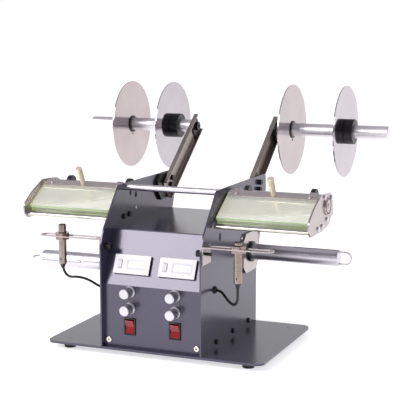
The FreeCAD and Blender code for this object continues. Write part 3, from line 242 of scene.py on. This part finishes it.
def finish(name, low, high, rough, metal=0.0, grain_mm=1.0, mottle_mm=25.0, bump=0.1, bump_mm=0.02,
           stretch=(1, 1, 1), turn=(0, 0, 0), rings=None, glow=0.0, **constants):
    """A finish from two noises: a wide one shifts colour and gloss, a fine one is the grain.

    low and high are the two hex colours, rough the two roughness values. rings is a centre in
    metres and a mask, for grain that runs in turning marks round an axis.
    """
    made = bpy.data.materials.new(name)
    made.use_nodes = True
    tree = made.node_tree
    shader = tree.nodes["Principled BSDF"]
    wide = add(tree, "ShaderNodeTexNoise", {"Vector": place(tree), "Detail": 3.0,
                                            "Scale": 1.0 / (mottle_mm * MM)})
    grain = {"Scale": 1.0 / (grain_mm * MM), "Detail": 2.0}
    if rings:
        fine = add(tree, "ShaderNodeTexNoise", {"W": rings_about(tree, *rings), **grain},
                   noise_dimensions="1D")
    else:
        fine = add(tree, "ShaderNodeTexNoise", {"Vector": place(tree, stretch, turn), **grain})
    both = add(tree, "ShaderNodeMath", {0: wide.outputs["Fac"], 1: fine.outputs["Fac"]},
               operation="ADD").outputs["Value"]
    colour = blend_colours(tree, ramp(tree, both, *NOISE_SPAN), linear(low), linear(high))
    tree.links.new(colour, shader.inputs["Base Color"])
    tree.links.new(ramp(tree, both, *NOISE_SPAN, *rough), shader.inputs["Roughness"])
    bumped = add(tree, "ShaderNodeBump", {"Height": fine.outputs["Fac"], "Strength": bump,
                                          "Distance": bump_mm * MM})
    tree.links.new(bumped.outputs["Normal"], shader.inputs["Normal"])
    shader.inputs["Metallic"].default_value = metal
    # glow is light of the surface's own in its high colour: evenly white paper on the floor, a
    # painted glow on the guards
    if glow:
        shader.inputs["Emission Color"].default_value = linear(high)
        shader.inputs["Emission Strength"].default_value = glow
    for key, value in constants.items():
        shader.inputs[key.replace("_", " ")].default_value = value
    return made


def in_frame(x, y, z):
    """A place in the drawings' frame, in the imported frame's metres."""
    return tuple(TO_FRAME @ Vector((x, y, z)))


def make_materials(colours):
    """Every finish, by its short name."""
    lathe_x = {"stretch": (1, 0.03, 0.03)}
    along_x = {"stretch": (0.03, 1, 1)}
    reel_rings = (in_frame(0, *REEL_AT), (0.0, 1.0, 1.0))
    made = {
        # Housing: satin powder coat on sheet steel, cool grey with a faint orange peel
        "powder_coat": finish(
            "powder_coat_grey", "#363447", "#3a384b", (0.18, 0.22), grain_mm=0.9, mottle_mm=60.0,
            bump=0.05, IOR=1.85, Specular_Tint=linear("#e6e1ee")),
        # Feet and grommets: moulded rubber, dull black
        "rubber": finish(
            "moulded_rubber_black", "#161617", "#1f1f20", (0.6, 0.75), grain_mm=1.5),
        # Hubs, collars and blocks: black anodised aluminium, soft sheen, fine lathe marks
        "black_anodised": finish(
            "anodised_black", "#0d0d0f", "#151518", (0.3, 0.42), grain_mm=0.6, bump=0.3, **lathe_x),
        # Cap screws and axles: black oxide, slightly oily
        "black_oxide": finish(
            "black_oxide_steel", "#151416", "#201f22", (0.28, 0.4), metal=0.5, grain_mm=0.6),
        # Pan screws: bright zinc plate
        "zinc": finish("zinc_plate", "#dcd8d4", "#ebe8e4", (0.14, 0.24), metal=1.0, grain_mm=0.8),
        # Recesses of the screws and grooves of the bearing caps: shadowed metal
        "recess": finish("screw_recess_shadow", "#2c2a2b", "#3a3838", (0.5, 0.6), metal=0.4),
        # Arms: stainless brushed along their length, warm
        "arm_steel": finish(
            "brushed_stainless_arm", "#988d89", "#aaa09b", (0.3, 0.42), metal=1.0, grain_mm=0.5,
            bump=0.2, stretch=(1, 0.04, 1), turn=(-ARM_TILT, 0, 0)),
        # Hinge strips: stainless brushed along X
        "strip_steel": finish(
            "brushed_stainless_strip", "#c9bfbe", "#d9d0ce", (0.3, 0.4), metal=1.0, grain_mm=0.4,
            bump=0.35, **along_x),
        # Discs: thin mirror-polished stainless, faint rings, so that each hub shows twice
        "disc_steel": finish(
            "mirror_polished_stainless", "#bbb4b9", "#c8c1c6", (0.05, 0.1), metal=1.0, grain_mm=0.9,
            mottle_mm=40.0, bump=0.03, rings=reel_rings),
        # The left outer disc and the right inner one: a warmer, duller polish, painted shade on the
        # faces that lie inside their reels
        "disc_painted_shade": finish(
            "painted_shade_polished_stainless", "#b9adad", "#c6bbbb", (0.1, 0.18), metal=1.0, grain_mm=0.9,
            mottle_mm=40.0, bump=0.05, rings=reel_rings),
        # End plates, brackets and mouth plates: satin stainless sheet with short polish marks
        "sheet_steel": finish(
            "satin_stainless_sheet", "#b3a8a7", "#c5bbba", (0.2, 0.32), metal=1.0, grain_mm=0.6,
            bump=0.25, stretch=(1, 0.06, 1)),
        # Peel tables: mirror-polished stainless
        "table_steel": finish(
            "polished_stainless_table", "#c2c1b4", "#d2d1c6", (0.08, 0.16), metal=1.0, grain_mm=0.7,
            **along_x),
        # Reel shafts and clips: ground bright bar
        "ground_bar": finish(
            "ground_bright_bar", "#e6e3e7", "#f0eef1", (0.34, 0.42), metal=1.0, grain_mm=0.5,
            **lathe_x),
        # Mandrels and lane rods: turned aluminium, fine rings along X
        "turned_aluminium": finish(
            "turned_aluminium", "#d6d3da", "#e2dfe6", (0.32, 0.4), metal=1.0, grain_mm=0.4,
            bump=0.1, **lathe_x),
        # Lift pegs: pale lacquered brass, matt
        "peg_brass": finish(
            "lacquered_pale_brass", "#dccfb8", "#e8ddca", (0.35, 0.45), metal=0.4, grain_mm=0.5),
        # Sensor barrels: nickel plate over a fine thread, drawn at 1 mm pitch so that it shows
        "nickel": finish(
            "nickel_plate_thread", "#84776f", "#a0938a", (0.08, 0.14), metal=1.0, grain_mm=1.0,
            stretch=(0.05, 0.05, 1), bump=0.25),
        # Counter faces: moulded ABS with a soft sheen, nearly white
        "counter_white": finish(
            "counter_plastic_white", "#d8d5dc", "#e2e0e6", (0.28, 0.36), grain_mm=0.6),
        # Reset buttons and window frames: the same plastic a shade darker, partly their own grey
        # and partly painted shade for the shadow lines round the window and the button
        "counter_grey": finish(
            "counter_plastic_grey", "#cdcbd0", "#d7d5da", (0.35, 0.45), grain_mm=0.6),
        # Counter housings: fine-grained black plastic, dull
        "counter_black": finish(
            "counter_plastic_black", "#0e0e10", "#161618", (0.35, 0.45), grain_mm=0.6),
        # Counter windows: clear glossy pane over a blank white label
        "window": finish(
            "window_pane_white", "#f4f3f6", "#fbfbfc", (0.06, 0.1), grain_mm=3.0, bump=0.02,
            Coat_Weight=1.0, Coat_Roughness=0.03),
        # Switch frames, inlet and sensor ends: moulded black plastic, satin
        "black_moulding": finish(
            "moulded_plastic_black", "#101012", "#19191b", (0.32, 0.45), grain_mm=0.8),
        # Rockers: glossy moulded red plastic, deep where light goes in
        "red_plastic": finish(
            "rocker_plastic_red", colours.rocker_dark, colours.rocker_light, (0.12, 0.2),
            grain_mm=1.0, mottle_mm=5.0, bump=0.05, Coat_Weight=0.3, Subsurface_Weight=0.1),
        # Marks on the rockers: white pad print, matt
        "mark_white": finish(
            "pad_printed_white", "#d8cfd0", "#efe8e8", (0.4, 0.5), grain_mm=0.4),
        # Feed rollers: ground rubber, dull, with fine grinding marks
        "roller_rubber": finish(
            "ground_rubber_dark", "#232325", "#2e2e30", (0.5, 0.62), grain_mm=0.7, bump=0.3),
        # Cables: extruded PVC, black with a soft sheen
        "cable_pvc": finish("cable_pvc_black", "#0d0d0f", "#171719", (0.35, 0.45), grain_mm=1.0),
        # Control board: green solder mask over glass-fibre laminate
        "board_green": finish(
            "circuit_board_green", "#1c4a32", "#235a3d", (0.35, 0.5), grain_mm=2.0),
        # Gearmotors: drawn steel cases, plain grey
        "motor_steel": finish("motor_case_steel", "#8f9092", "#9d9ea0", (0.3, 0.45), metal=0.9),
        # Guards: clear cast acrylic, faintly green where it is deep, with a faint painted glow of
        # its own
        "acrylic_face": finish(
            "clear_cast_acrylic", "#ecede8", "#f4f3ec", (0.03, 0.06), grain_mm=5.0, bump=0.02,
            glow=0.15, Transmission_Weight=0.86, IOR=1.49),
        # Sawn edges of the guards: frosted and pale yellow-green, with a painted glow for the
        # bright line of light they gather
        "acrylic_edge": finish(
            "sawn_acrylic_edge", colours.edge_dark, colours.edge_light, (0.3, 0.45), grain_mm=0.6,
            stretch=(0.1, 1, 1), glow=0.35, IOR=1.49),
        # Their front and rear edges: flame-polished, pale green and half clear, with a faint
        # painted glow
        "acrylic_front": finish(
            "polished_acrylic_edge", "#b5cf9c", "#cddfb9", (0.1, 0.2), grain_mm=2.0, glow=0.08,
            Transmission_Weight=0.5, IOR=1.49),
    }
    # Knobs: spun aluminium, rings round each knob's own axis
    for side, sign in SIDES:
        for kind, height in KNOB_HEIGHTS:
            made[f"{kind}_knob_{side}"] = finish(
                f"spun_aluminium_{kind}_{side}", "#cfced3", "#e2e1e6", (0.36, 0.44), metal=1.0,
                grain_mm=0.5, bump=0.2,
                rings=(in_frame(sign * STATION_X, 0, height), (1.0, 0.0, 1.0)))
    return made


NODE_FINISH = {
    "base_plate": "powder_coat", "front_panel": "powder_coat", "rear_cover": "powder_coat",
    "rubber_feet": "rubber", "power_inlet": "black_moulding", "control_board": "board_green",
    "counters": "counter_black", "switch_bezels": "black_moulding", "black_screws": "black_oxide",
    "steel_screws": "zinc", "arm_foot_blocks": "black_anodised",
    "bearing_blocks": "black_anodised", "gearmotors": "motor_steel",
    "take_up_plates": "sheet_steel", "peel_tables": "table_steel",
    "peel_end_plates": "sheet_steel", "cross_rods": "turned_aluminium",
    "web_collars": "black_anodised", "sensor_brackets": "sheet_steel", "sensor_barrels": "nickel",
    "sensor_lock_nuts": "nickel", "cable_grommets": "rubber",
}
SIDED_FINISH = {
    "side_plate": "powder_coat", "power_rocker": "red_plastic", "reset_button": "counter_grey",
    "reel_arm": "arm_steel", "reel_axle": "black_oxide", "reel_shaft": "ground_bar",
    "inner_disc": "disc_steel", "inner_hub": "black_anodised", "outer_disc": "disc_steel",
    "outer_hub": "black_anodised", "guard_panel": "acrylic_face", "guard_strip": "strip_steel",
    "lift_peg": "peg_brass", "feed_roller": "roller_rubber",
    "take_up_mandrel": "turned_aluminium", "take_up_clip": "ground_bar",
    "sensor_cable": "cable_pvc",
}

materials = {}


def get_material(name):
    """A finish by its short name; all of them are made when the first is asked for."""
    if not materials:
        materials.update(make_materials(bpy.context.scene.label_dispenser_colours))
    return materials[name]


def paint_frame():
    """Gives every CAD node its finish."""
    wanted = dict(NODE_FINISH)
    for side, _ in SIDES:
        for base, name in SIDED_FINISH.items():
            wanted[f"{base}_{side}"] = name
        for kind, _ in KNOB_HEIGHTS:
            wanted[f"{kind}_knob_{side}"] = f"{kind}_knob_{side}"
    # Painted shade: the discs whose seen faces lie inside their reels take the duller polish
    wanted["outer_disc_left"] = wanted["inner_disc_right"] = "disc_painted_shade"
    missing = set(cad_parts) - set(wanted)
    if missing:
        raise RuntimeError(f"nodes without a finish: {sorted(missing)}")
    for name, kind in wanted.items():
        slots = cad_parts[name].data.materials
        slots.clear()
        slots.append(get_material(kind))


# New pieces: drawn in mm in the drawings' frame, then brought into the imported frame


def to_object(name, mesh, finishes, body, stands_for=()):
    """Turns a bmesh in the drawings' frame into a finished piece that rides on a body."""
    bmesh.ops.transform(mesh, matrix=TO_FRAME, verts=mesh.verts[:])
    bmesh.ops.recalc_face_normals(mesh, faces=mesh.faces[:])
    data = bpy.data.meshes.new(name)
    mesh.to_mesh(data)
    mesh.free()
    data.polygons.foreach_set("use_smooth", [True] * len(data.polygons))
    data.set_sharp_from_angle(angle=SHARP_ANGLE)
    made = bpy.data.objects.new(name, data)
    bpy.context.scene.collection.objects.link(made)
    for kind in finishes:
        data.materials.append(get_material(kind))
    if stands_for:
        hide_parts(*stands_for)
    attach(made, body)


def take_new(mesh, before, finish_index):
    """The vertices that weren't there before; their faces get a finish."""
    for face in mesh.faces:
        if face.verts[0] not in before:
            face.material_index = finish_index
    return [v for v in mesh.verts if v not in before]


def block(mesh, low, high, bevel=0.0, finish_index=0):
    """A box between two corners, with rounded edges."""
    before = set(mesh.verts)
    middle = (Vector(low) + Vector(high)) / 2.0
    size = Vector(high) - Vector(low)
    bmesh.ops.create_cube(mesh, size=1.0,
                          matrix=Matrix.Translation(middle) @ Matrix.Diagonal((*size, 1.0)))
    if bevel:
        edges = [e for e in mesh.edges if e.verts[0] not in before]
        bmesh.ops.bevel(mesh, geom=edges, offset=bevel, segments=BEVEL_SEGMENTS, profile=0.5,
                        affect="EDGES", material=-1)
    return take_new(mesh, before, finish_index)


def lathe(mesh, profile, at, axis, steps=32, finish_index=0):
    """Spins a profile round an axis that starts at a point."""
    before = set(mesh.verts)
    line = [mesh.verts.new((r, 0.0, h)) for r, h in profile]
    edges = [mesh.edges.new(pair) for pair in zip(line, line[1:])]
    bmesh.ops.spin(mesh, geom=line + edges, cent=(0, 0, 0), axis=(0, 0, 1), dvec=(0, 0, 0),
                   angle=2.0 * math.pi, steps=steps, use_merge=True, use_duplicate=False)
    bmesh.ops.remove_doubles(mesh, verts=[v for v in mesh.verts if v not in before], dist=WELD)
    made = take_new(mesh, before, finish_index)
    turn = Z.rotation_difference(Vector(axis)).to_matrix().to_4x4()
    bmesh.ops.transform(mesh, matrix=Matrix.Translation(at) @ turn, verts=made)
    return made


def make_cable(side):
    """A sensor's cable, from the strain relief to the grommet in the side plate."""
    points = [TO_FRAME @ Vector(p) for p in CABLE_ROUTES[side]]
    curve = bpy.data.curves.new(f"sensor_flex_{side}", "CURVE")
    curve.dimensions = "3D"
    curve.bevel_depth = CABLE_RADIUS * MM
    curve.bevel_resolution = 6
    curve.resolution_u = 12
    curve.render_resolution_u = 12
    spline = curve.splines.new("NURBS")
    spline.points.add(len(points) - 1)
    for point, at in zip(spline.points, points):
        point.co = (*at, 1.0)
    spline.order_u = 3
    spline.use_endpoint_u = True
    curve.materials.append(get_material("cable_pvc"))
    cable = bpy.data.objects.new(f"sensor_flex_{side}", curve)
    bpy.context.scene.collection.objects.link(cable)
    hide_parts(f"sensor_cable_{side}")
    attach(cable, "machine")


def make_guard(side, sign, thick):
    """Clear sheet with polished faces, frosted sawn ends and polished front and rear edges."""
    mesh = bmesh.new()
    block(mesh, (LANE_INNER, 0, 0), (LANE_OUTER, GUARD_LENGTH, thick), bevel=GUARD_EDGE_R)
    mesh.normal_update()
    for face in mesh.faces:
        flat, end = abs(face.normal.z) > FACING, abs(face.normal.x) > FACING
        face.material_index = 0 if flat else 1 if end else 2
    bmesh.ops.transform(mesh, matrix=Matrix.Diagonal((sign, 1, 1, 1)) @ ON_GUARD,
                        verts=mesh.verts[:])
    to_object(f"guard_sheet_{side}", mesh, ("acrylic_face", "acrylic_edge", "acrylic_front"),
              f"guard_{side}", (f"guard_panel_{side}",))


def make_counter_face(side, sign):
    """Face of a counter: white rails, grey frames in their openings, and the window's pane."""
    w, h = COUNTER_W / 2.0, COUNTER_H / 2.0
    y_open, y_button, y_pane, lap = OPENING_HALF, BUTTON_HALF, PANE_HALF, PANE_LAP
    (b0, b1), (w0, w1), (p0, p1) = BUTTON_X, WINDOW_X, PANE_X
    rails = ((-w, -h, w, -y_open), (-w, y_open, w, h), (-w, -y_open, b0, y_open),
             (b1, -y_open, w0, y_open), (w1, -y_open, w, y_open))
    # The frames' darker grey is partly painted shade for the shadow lines in the openings
    frames = ((w0, -y_open, w1, -y_pane), (w0, y_pane, w1, y_open), (w0, -y_pane, p0, y_pane),
              (p1, -y_pane, w1, y_pane), (b0, -y_open, b1, -y_button), (b0, y_button, b1, y_open))
    pane = ((p0 - lap, -y_pane - lap, p1 + lap, y_pane + lap),)
    mesh = bmesh.new()
    for index, (boxes, layer, bevel) in enumerate(((rails, FACE_LAYER, 0.0),
                                                   (frames, FRAME_LAYER, 0.0),
                                                   (pane, PANE_LAYER, PANE_EDGE_R))):
        low, high = (COUNTER_PROUD + off for off in layer)
        for x0, y0, x1, y1 in boxes:
            block(mesh, (x0, y0, low), (x1, y1, high), bevel=bevel, finish_index=index)
    place_at = ON_SLOPE @ Matrix.Translation((STATION_X * sign, COUNTER_UP, 0.0))
    bmesh.ops.transform(mesh, matrix=place_at, verts=mesh.verts[:])
    to_object(f"counter_face_{side}", mesh, ("counter_white", "counter_grey", "window"),
              "machine")


def make_rocker_marks(side, sign):
    """The line and the ring that every rocker switch carries, printed on its two faces."""
    mesh = bmesh.new()
    line = block(mesh, (-MARK_LINE_HALF_W, -MARK_LINE_HALF_L, 0.0),
                 (MARK_LINE_HALF_W, MARK_LINE_HALF_L, MARK_THICK))
    ring = lathe(mesh, ((MARK_RING_IN, 0.0), (MARK_RING_OUT, 0.0), (MARK_RING_OUT, MARK_THICK),
                        (MARK_RING_IN, MARK_THICK), (MARK_RING_IN, 0.0)), (0, 0, 0), Z)
    tilt = (Matrix.Translation((STATION_X * sign, *ROCKER_AT))
            @ Matrix.Rotation(ROCKER_TILT, 4, "X"))
    for up, mark in ((1, line), (-1, ring)):
        lean = Matrix.Rotation(up * ROCKER_TILT, 4, "X")
        off = Matrix.Translation((0, -MARK_OFF, up * MARK_UP))
        bmesh.ops.transform(mesh, matrix=tilt @ off @ lean @ FACING_FRONT, verts=mark)
    to_object(f"rocker_marks_{side}", mesh, ("mark_white",), f"rocker_{side}")


def make_disc_screws(side, sign):
    """Three small screws round each hub, in the disc's face that is away from the hub."""
    for x, kind, out in ((DISC_X[side][0], "inner", 1), (DISC_X[side][1], "outer", -1)):
        mesh = bmesh.new()
        for i in range(DISC_SCREWS):
            a = math.radians(DISC_SCREW_TURN + 360.0 / DISC_SCREWS * i)
            at = (sign * (x + out * DISC_THICK), REEL_AT[0] + DISC_SCREW_R * math.cos(a),
                  REEL_AT[1] + DISC_SCREW_R * math.sin(a))
            lathe(mesh, DISC_SCREW_HEAD, at, X * sign * out, steps=16)
        to_object(f"{kind}_disc_screws_{side}", mesh, ("black_oxide",), f"{kind}_flange_{side}")


def make_sensor_ends(side):
    """Sensing face on the barrel's top, strain relief at its foot, and the lamp just above."""
    x, y, z = SENSORS[side]
    front = y - SENSOR_R
    mesh = bmesh.new()
    lathe(mesh, SENSING_FACE, (x, y, z + SENSOR_LENGTH), Z)
    lathe(mesh, STRAIN_RELIEF, (x, y, z), Z)
    block(mesh, (x - LAMP_HALF_W, front - LAMP_PROUD, z + LAMP_Z[0]),
          (x + LAMP_HALF_W, front + LAMP_SUNK, z + LAMP_Z[1]), bevel=LAMP_EDGE_R)
    to_object(f"sensor_ends_{side}", mesh, ("black_moulding",), "machine")


def make_screw_recesses():
    """Cross recesses of the bright pan screws: dark bars as painted shade, standing just proud of
    the heads.
    """
    mesh = bmesh.new()
    for x, z in PAN_SCREWS:
        place_at = (Matrix.Translation((x, PANEL_Y - PAN_HEAD, z)) @ FACING_FRONT
                    @ Matrix.Rotation(CROSS_TURN, 4, "Z"))
        for half_x, half_y, proud in ((CROSS_ARM, CROSS_HALF_W, CROSS_PROUD[0]),
                                      (CROSS_HALF_W, CROSS_ARM, CROSS_PROUD[1])):
            bar = block(mesh, (-half_x, -half_y, -CROSS_SUNK), (half_x, half_y, proud))
            bmesh.ops.transform(mesh, matrix=place_at, verts=bar)
    to_object("pan_screw_recesses", mesh, ("recess",), "machine")


def make_stud_marks():
    """Faint coated rings on the deck, over the studs that hold the feet."""
    mesh = bmesh.new()
    for x, y in STUDS:
        lathe(mesh, STUD_RING, (x, y, 0), Z)
    to_object("stud_marks", mesh, ("powder_coat",), "machine")


def make_end_plate_rings(side, sign):
    """Groove of the roller's bearing cap as a dark ring of painted shade, and the cap's dust disc.
    """
    mesh = bmesh.new()
    at = (sign * (CAP_FACE_X + CAP_DETAIL_OFF), *ROLLER_AT)
    lathe(mesh, CAP_GROOVE, at, X * sign, steps=48)
    lathe(mesh, DUST_DISC, at, X * sign, finish_index=1)
    to_object(f"bearing_groove_{side}", mesh, ("recess", "sheet_steel"), "machine")


# Camera and stage


def make_camera():
    """The camera at the photo's place."""
    data = bpy.data.cameras.new("camera")
    data.lens = CAMERA_LENS
    data.sensor_width = CAMERA_SENSOR
    data.sensor_fit = "HORIZONTAL"
    data.clip_start = 0.05
    data.clip_end = 60.0
    data.dof.use_dof = False
    camera = bpy.data.objects.new("camera", data)
    bpy.context.scene.collection.objects.link(camera)
    camera.location = CAMERA_AT
    camera.rotation_euler = (math.pi / 2.0 - CAMERA_ELEVATION, 0.0, CAMERA_AZIMUTH)
    bpy.context.scene.camera = camera


def make_light(name, azimuth, elevation, far, size, power):
    """A white softbox that faces the machine; azimuth is from the front, positive to the right."""
    data = bpy.data.lights.new(name, "AREA")
    data.shape = "RECTANGLE"
    data.size, data.size_y = size
    data.energy = power
    lamp = bpy.data.objects.new(name, data)
    bpy.context.scene.collection.objects.link(lamp)
    a, e = math.radians(azimuth), math.radians(elevation)
    aim = Vector(LIGHT_AIM)
    lamp.location = aim + far * Vector((math.sin(a) * math.cos(e), -math.cos(a) * math.cos(e),
                                        math.sin(e)))
    lamp.rotation_euler = (aim - lamp.location).to_track_quat("-Z", "Y").to_euler()


def make_world(strength):
    """Studio: white floor and rear, a dimmer room in front and a warm grey ceiling."""
    world = bpy.data.worlds.new("studio")
    world.use_nodes = True
    tree = world.node_tree
    way = add(tree, "ShaderNodeTexCoord").outputs["Generated"]
    parts = add(tree, "ShaderNodeSeparateXYZ", {0: way})
    front = blend_colours(tree, ramp(tree, parts.outputs["Y"], *ROOM_FRONT_FADE),
                          linear(ROOM_FRONT), linear(WHITE))
    ceiling = blend_colours(tree, ramp(tree, parts.outputs["Z"], *ROOM_CEILING_FADE), front,
                            linear(ROOM_CEILING))
    back = tree.nodes["Background"]
    tree.links.new(ceiling, back.inputs["Color"])
    back.inputs["Strength"].default_value = strength
    bpy.context.scene.world = world


def make_paper(glow):
    """White paper sweep whose colour and glow fade to grey towards the front, painted shade for the
    dimmer room there.
    """
    made = finish("paper_sweep_white", "#fafafa", WHITE, (0.7, 0.8), grain_mm=3.0,
                  mottle_mm=400.0, glow=glow)
    tree = made.node_tree
    shader = tree.nodes["Principled BSDF"]
    # Painted shade: the paper's colour and glow darken towards the front
    y = add(tree, "ShaderNodeSeparateXYZ", {0: place(tree)}).outputs["Y"]
    paper = blend_colours(tree, ramp(tree, y, PAPER_FAR_Y, PAPER_NEAR_Y), linear(PAPER_PAINTED_SHADE),
                          linear(WHITE))
    tree.links.new(paper, shader.inputs["Base Color"])
    tree.links.new(paper, shader.inputs["Emission Color"])
    return made


def make_stage(look):
    """The floor, the key light and the room."""
    mesh = bmesh.new()
    bmesh.ops.create_grid(mesh, x_segments=1, y_segments=1, size=FLOOR_HALF)
    data = bpy.data.meshes.new("floor")
    mesh.to_mesh(data)
    mesh.free()
    floor = bpy.data.objects.new("floor", data)
    bpy.context.scene.collection.objects.link(floor)
    data.materials.append(make_paper(look.floor_glow))
    make_light("key_softbox", KEY_AZIMUTH, KEY_ELEVATION, KEY_FAR, KEY_SIZE, look.key_power)
    make_world(look.world_strength)
    bpy.context.scene.view_settings.view_transform = "Standard"


# Add-on


class LabelDispenserSizes(bpy.types.PropertyGroup):
    """Sizes of the pieces that are made here."""

    guard_thickness: bpy.props.FloatProperty(
        name="Guard thickness", description="Thickness of the clear acrylic sheets",
        default=GUARD_THICK * MM, min=0.002, max=0.006, unit="LENGTH", subtype="DISTANCE")


class LabelDispenserColours(bpy.types.PropertyGroup):
    """Colours that a user would change, as sRGB hex values."""

    rocker_dark: bpy.props.StringProperty(
        name="Rocker, deep red", description="Darker colour of the power rockers",
        default="#6e070c")
    rocker_light: bpy.props.StringProperty(
        name="Rocker, bright red", description="Lighter colour of the power rockers",
        default="#9c1218")
    edge_dark: bpy.props.StringProperty(
        name="Acrylic edge, deep", description="Darker colour of the guards' sawn edges",
        default="#c9d67e")
    edge_light: bpy.props.StringProperty(
        name="Acrylic edge, bright", description="Lighter colour of the guards' sawn edges",
        default="#dfe796")


class LabelDispenserStage(bpy.types.PropertyGroup):
    """Light of the studio."""

    key_power: bpy.props.FloatProperty(
        name="Key light", description="Power of the softbox at the front left", default=17.0,
        min=0.0, unit="POWER")
    world_strength: bpy.props.FloatProperty(
        name="Room light", description="Strength of the light from the room", default=1.0,
        min=0.0, subtype="FACTOR")
    floor_glow: bpy.props.FloatProperty(
        name="Floor glow", description="Light of its own that keeps the paper floor white",
        default=0.6, min=0.0, subtype="FACTOR")


class LABELDISPENSER_OT_camera(bpy.types.Operator):
    """Sets up the camera."""

    bl_idname = "labeldispenser.camera"
    bl_label = "Camera"

    def execute(self, context):
        make_camera()
        return {"FINISHED"}


class LABELDISPENSER_OT_cables(bpy.types.Operator):
    """Lays the two sensor cables."""

    bl_idname = "labeldispenser.cables"
    bl_label = "Sensor cables"

    def execute(self, context):
        for side, _ in SIDES:
            make_cable(side)
        return {"FINISHED"}


class LABELDISPENSER_OT_paint(bpy.types.Operator):
    """Gives the frame's pieces their finishes."""

    bl_idname = "labeldispenser.paint"
    bl_label = "Finishes"

    def execute(self, context):
        paint_frame()
        return {"FINISHED"}


class LABELDISPENSER_OT_guards(bpy.types.Operator):
    """Makes the two clear guards."""

    bl_idname = "labeldispenser.guards"
    bl_label = "Guards"

    def execute(self, context):
        thick = context.scene.label_dispenser_sizes.guard_thickness / MM
        for side, sign in SIDES:
            make_guard(side, sign, thick)
        return {"FINISHED"}


class LABELDISPENSER_OT_counters(bpy.types.Operator):
    """Makes the white faces of the two counters."""

    bl_idname = "labeldispenser.counters"
    bl_label = "Counter faces"

    def execute(self, context):
        for side, sign in SIDES:
            make_counter_face(side, sign)
        return {"FINISHED"}


class LABELDISPENSER_OT_rocker_marks(bpy.types.Operator):
    """Prints the on and off marks on the two rockers."""

    bl_idname = "labeldispenser.rocker_marks"
    bl_label = "Rocker marks"

    def execute(self, context):
        for side, sign in SIDES:
            make_rocker_marks(side, sign)
        return {"FINISHED"}


class LABELDISPENSER_OT_screws(bpy.types.Operator):
    """Makes the discs' screws, the recesses of the pan screws and the marks of the studs."""

    bl_idname = "labeldispenser.screws"
    bl_label = "Screw details"

    def execute(self, context):
        for side, sign in SIDES:
            make_disc_screws(side, sign)
        make_screw_recesses()
        make_stud_marks()
        return {"FINISHED"}


class LABELDISPENSER_OT_sensors(bpy.types.Operator):
    """Makes the sensing faces and the strain reliefs of the sensors."""

    bl_idname = "labeldispenser.sensors"
    bl_label = "Sensor ends"

    def execute(self, context):
        for side, _ in SIDES:
            make_sensor_ends(side)
        return {"FINISHED"}


class LABELDISPENSER_OT_bearings(bpy.types.Operator):
    """Makes the grooves of the bearing caps on the end plates."""

    bl_idname = "labeldispenser.bearings"
    bl_label = "Bearing caps"

    def execute(self, context):
        for side, sign in SIDES:
            make_end_plate_rings(side, sign)
        return {"FINISHED"}


class LABELDISPENSER_OT_stage(bpy.types.Operator):
    """Sets up the floor, the softbox and the room."""

    bl_idname = "labeldispenser.stage"
    bl_label = "Stage"

    def execute(self, context):
        make_stage(context.scene.label_dispenser_stage)
        return {"FINISHED"}


class LABELDISPENSER_PT_panel(bpy.types.Panel):
    """Lists what can be built."""

    bl_idname = "LABELDISPENSER_PT_panel"
    bl_label = "Label Dispenser"
    bl_space_type = "VIEW_3D"
    bl_region_type = "UI"
    bl_category = "Label Dispenser"

    def draw(self, context):
        for name, group in GROUPS:
            settings = getattr(context.scene, name)
            for key in group.__annotations__:
                self.layout.prop(settings, key)
        for operator in OPERATORS:
            self.layout.operator(operator.bl_idname)


GROUPS = (("label_dispenser_sizes", LabelDispenserSizes),
          ("label_dispenser_colours", LabelDispenserColours),
          ("label_dispenser_stage", LabelDispenserStage))
OPERATORS = (LABELDISPENSER_OT_camera, LABELDISPENSER_OT_cables, LABELDISPENSER_OT_paint,
             LABELDISPENSER_OT_guards, LABELDISPENSER_OT_counters, LABELDISPENSER_OT_rocker_marks,
             LABELDISPENSER_OT_screws, LABELDISPENSER_OT_sensors, LABELDISPENSER_OT_bearings,
             LABELDISPENSER_OT_stage)
CLASSES = (*(group for _, group in GROUPS), *OPERATORS, LABELDISPENSER_PT_panel)


def register():
    for cls in CLASSES:
        bpy.utils.register_class(cls)
    for name, group in GROUPS:
        setattr(bpy.types.Scene, name, bpy.props.PointerProperty(type=group))


def unregister():
    for name, _ in GROUPS:
        delattr(bpy.types.Scene, name)
    for cls in reversed(CLASSES):
        bpy.utils.unregister_class(cls)


def main():
    register()
    for operator in OPERATORS:
        group, name = operator.bl_idname.split(".")
        getattr(getattr(bpy.ops, group), name)()


if __name__ == "__main__":
    main()
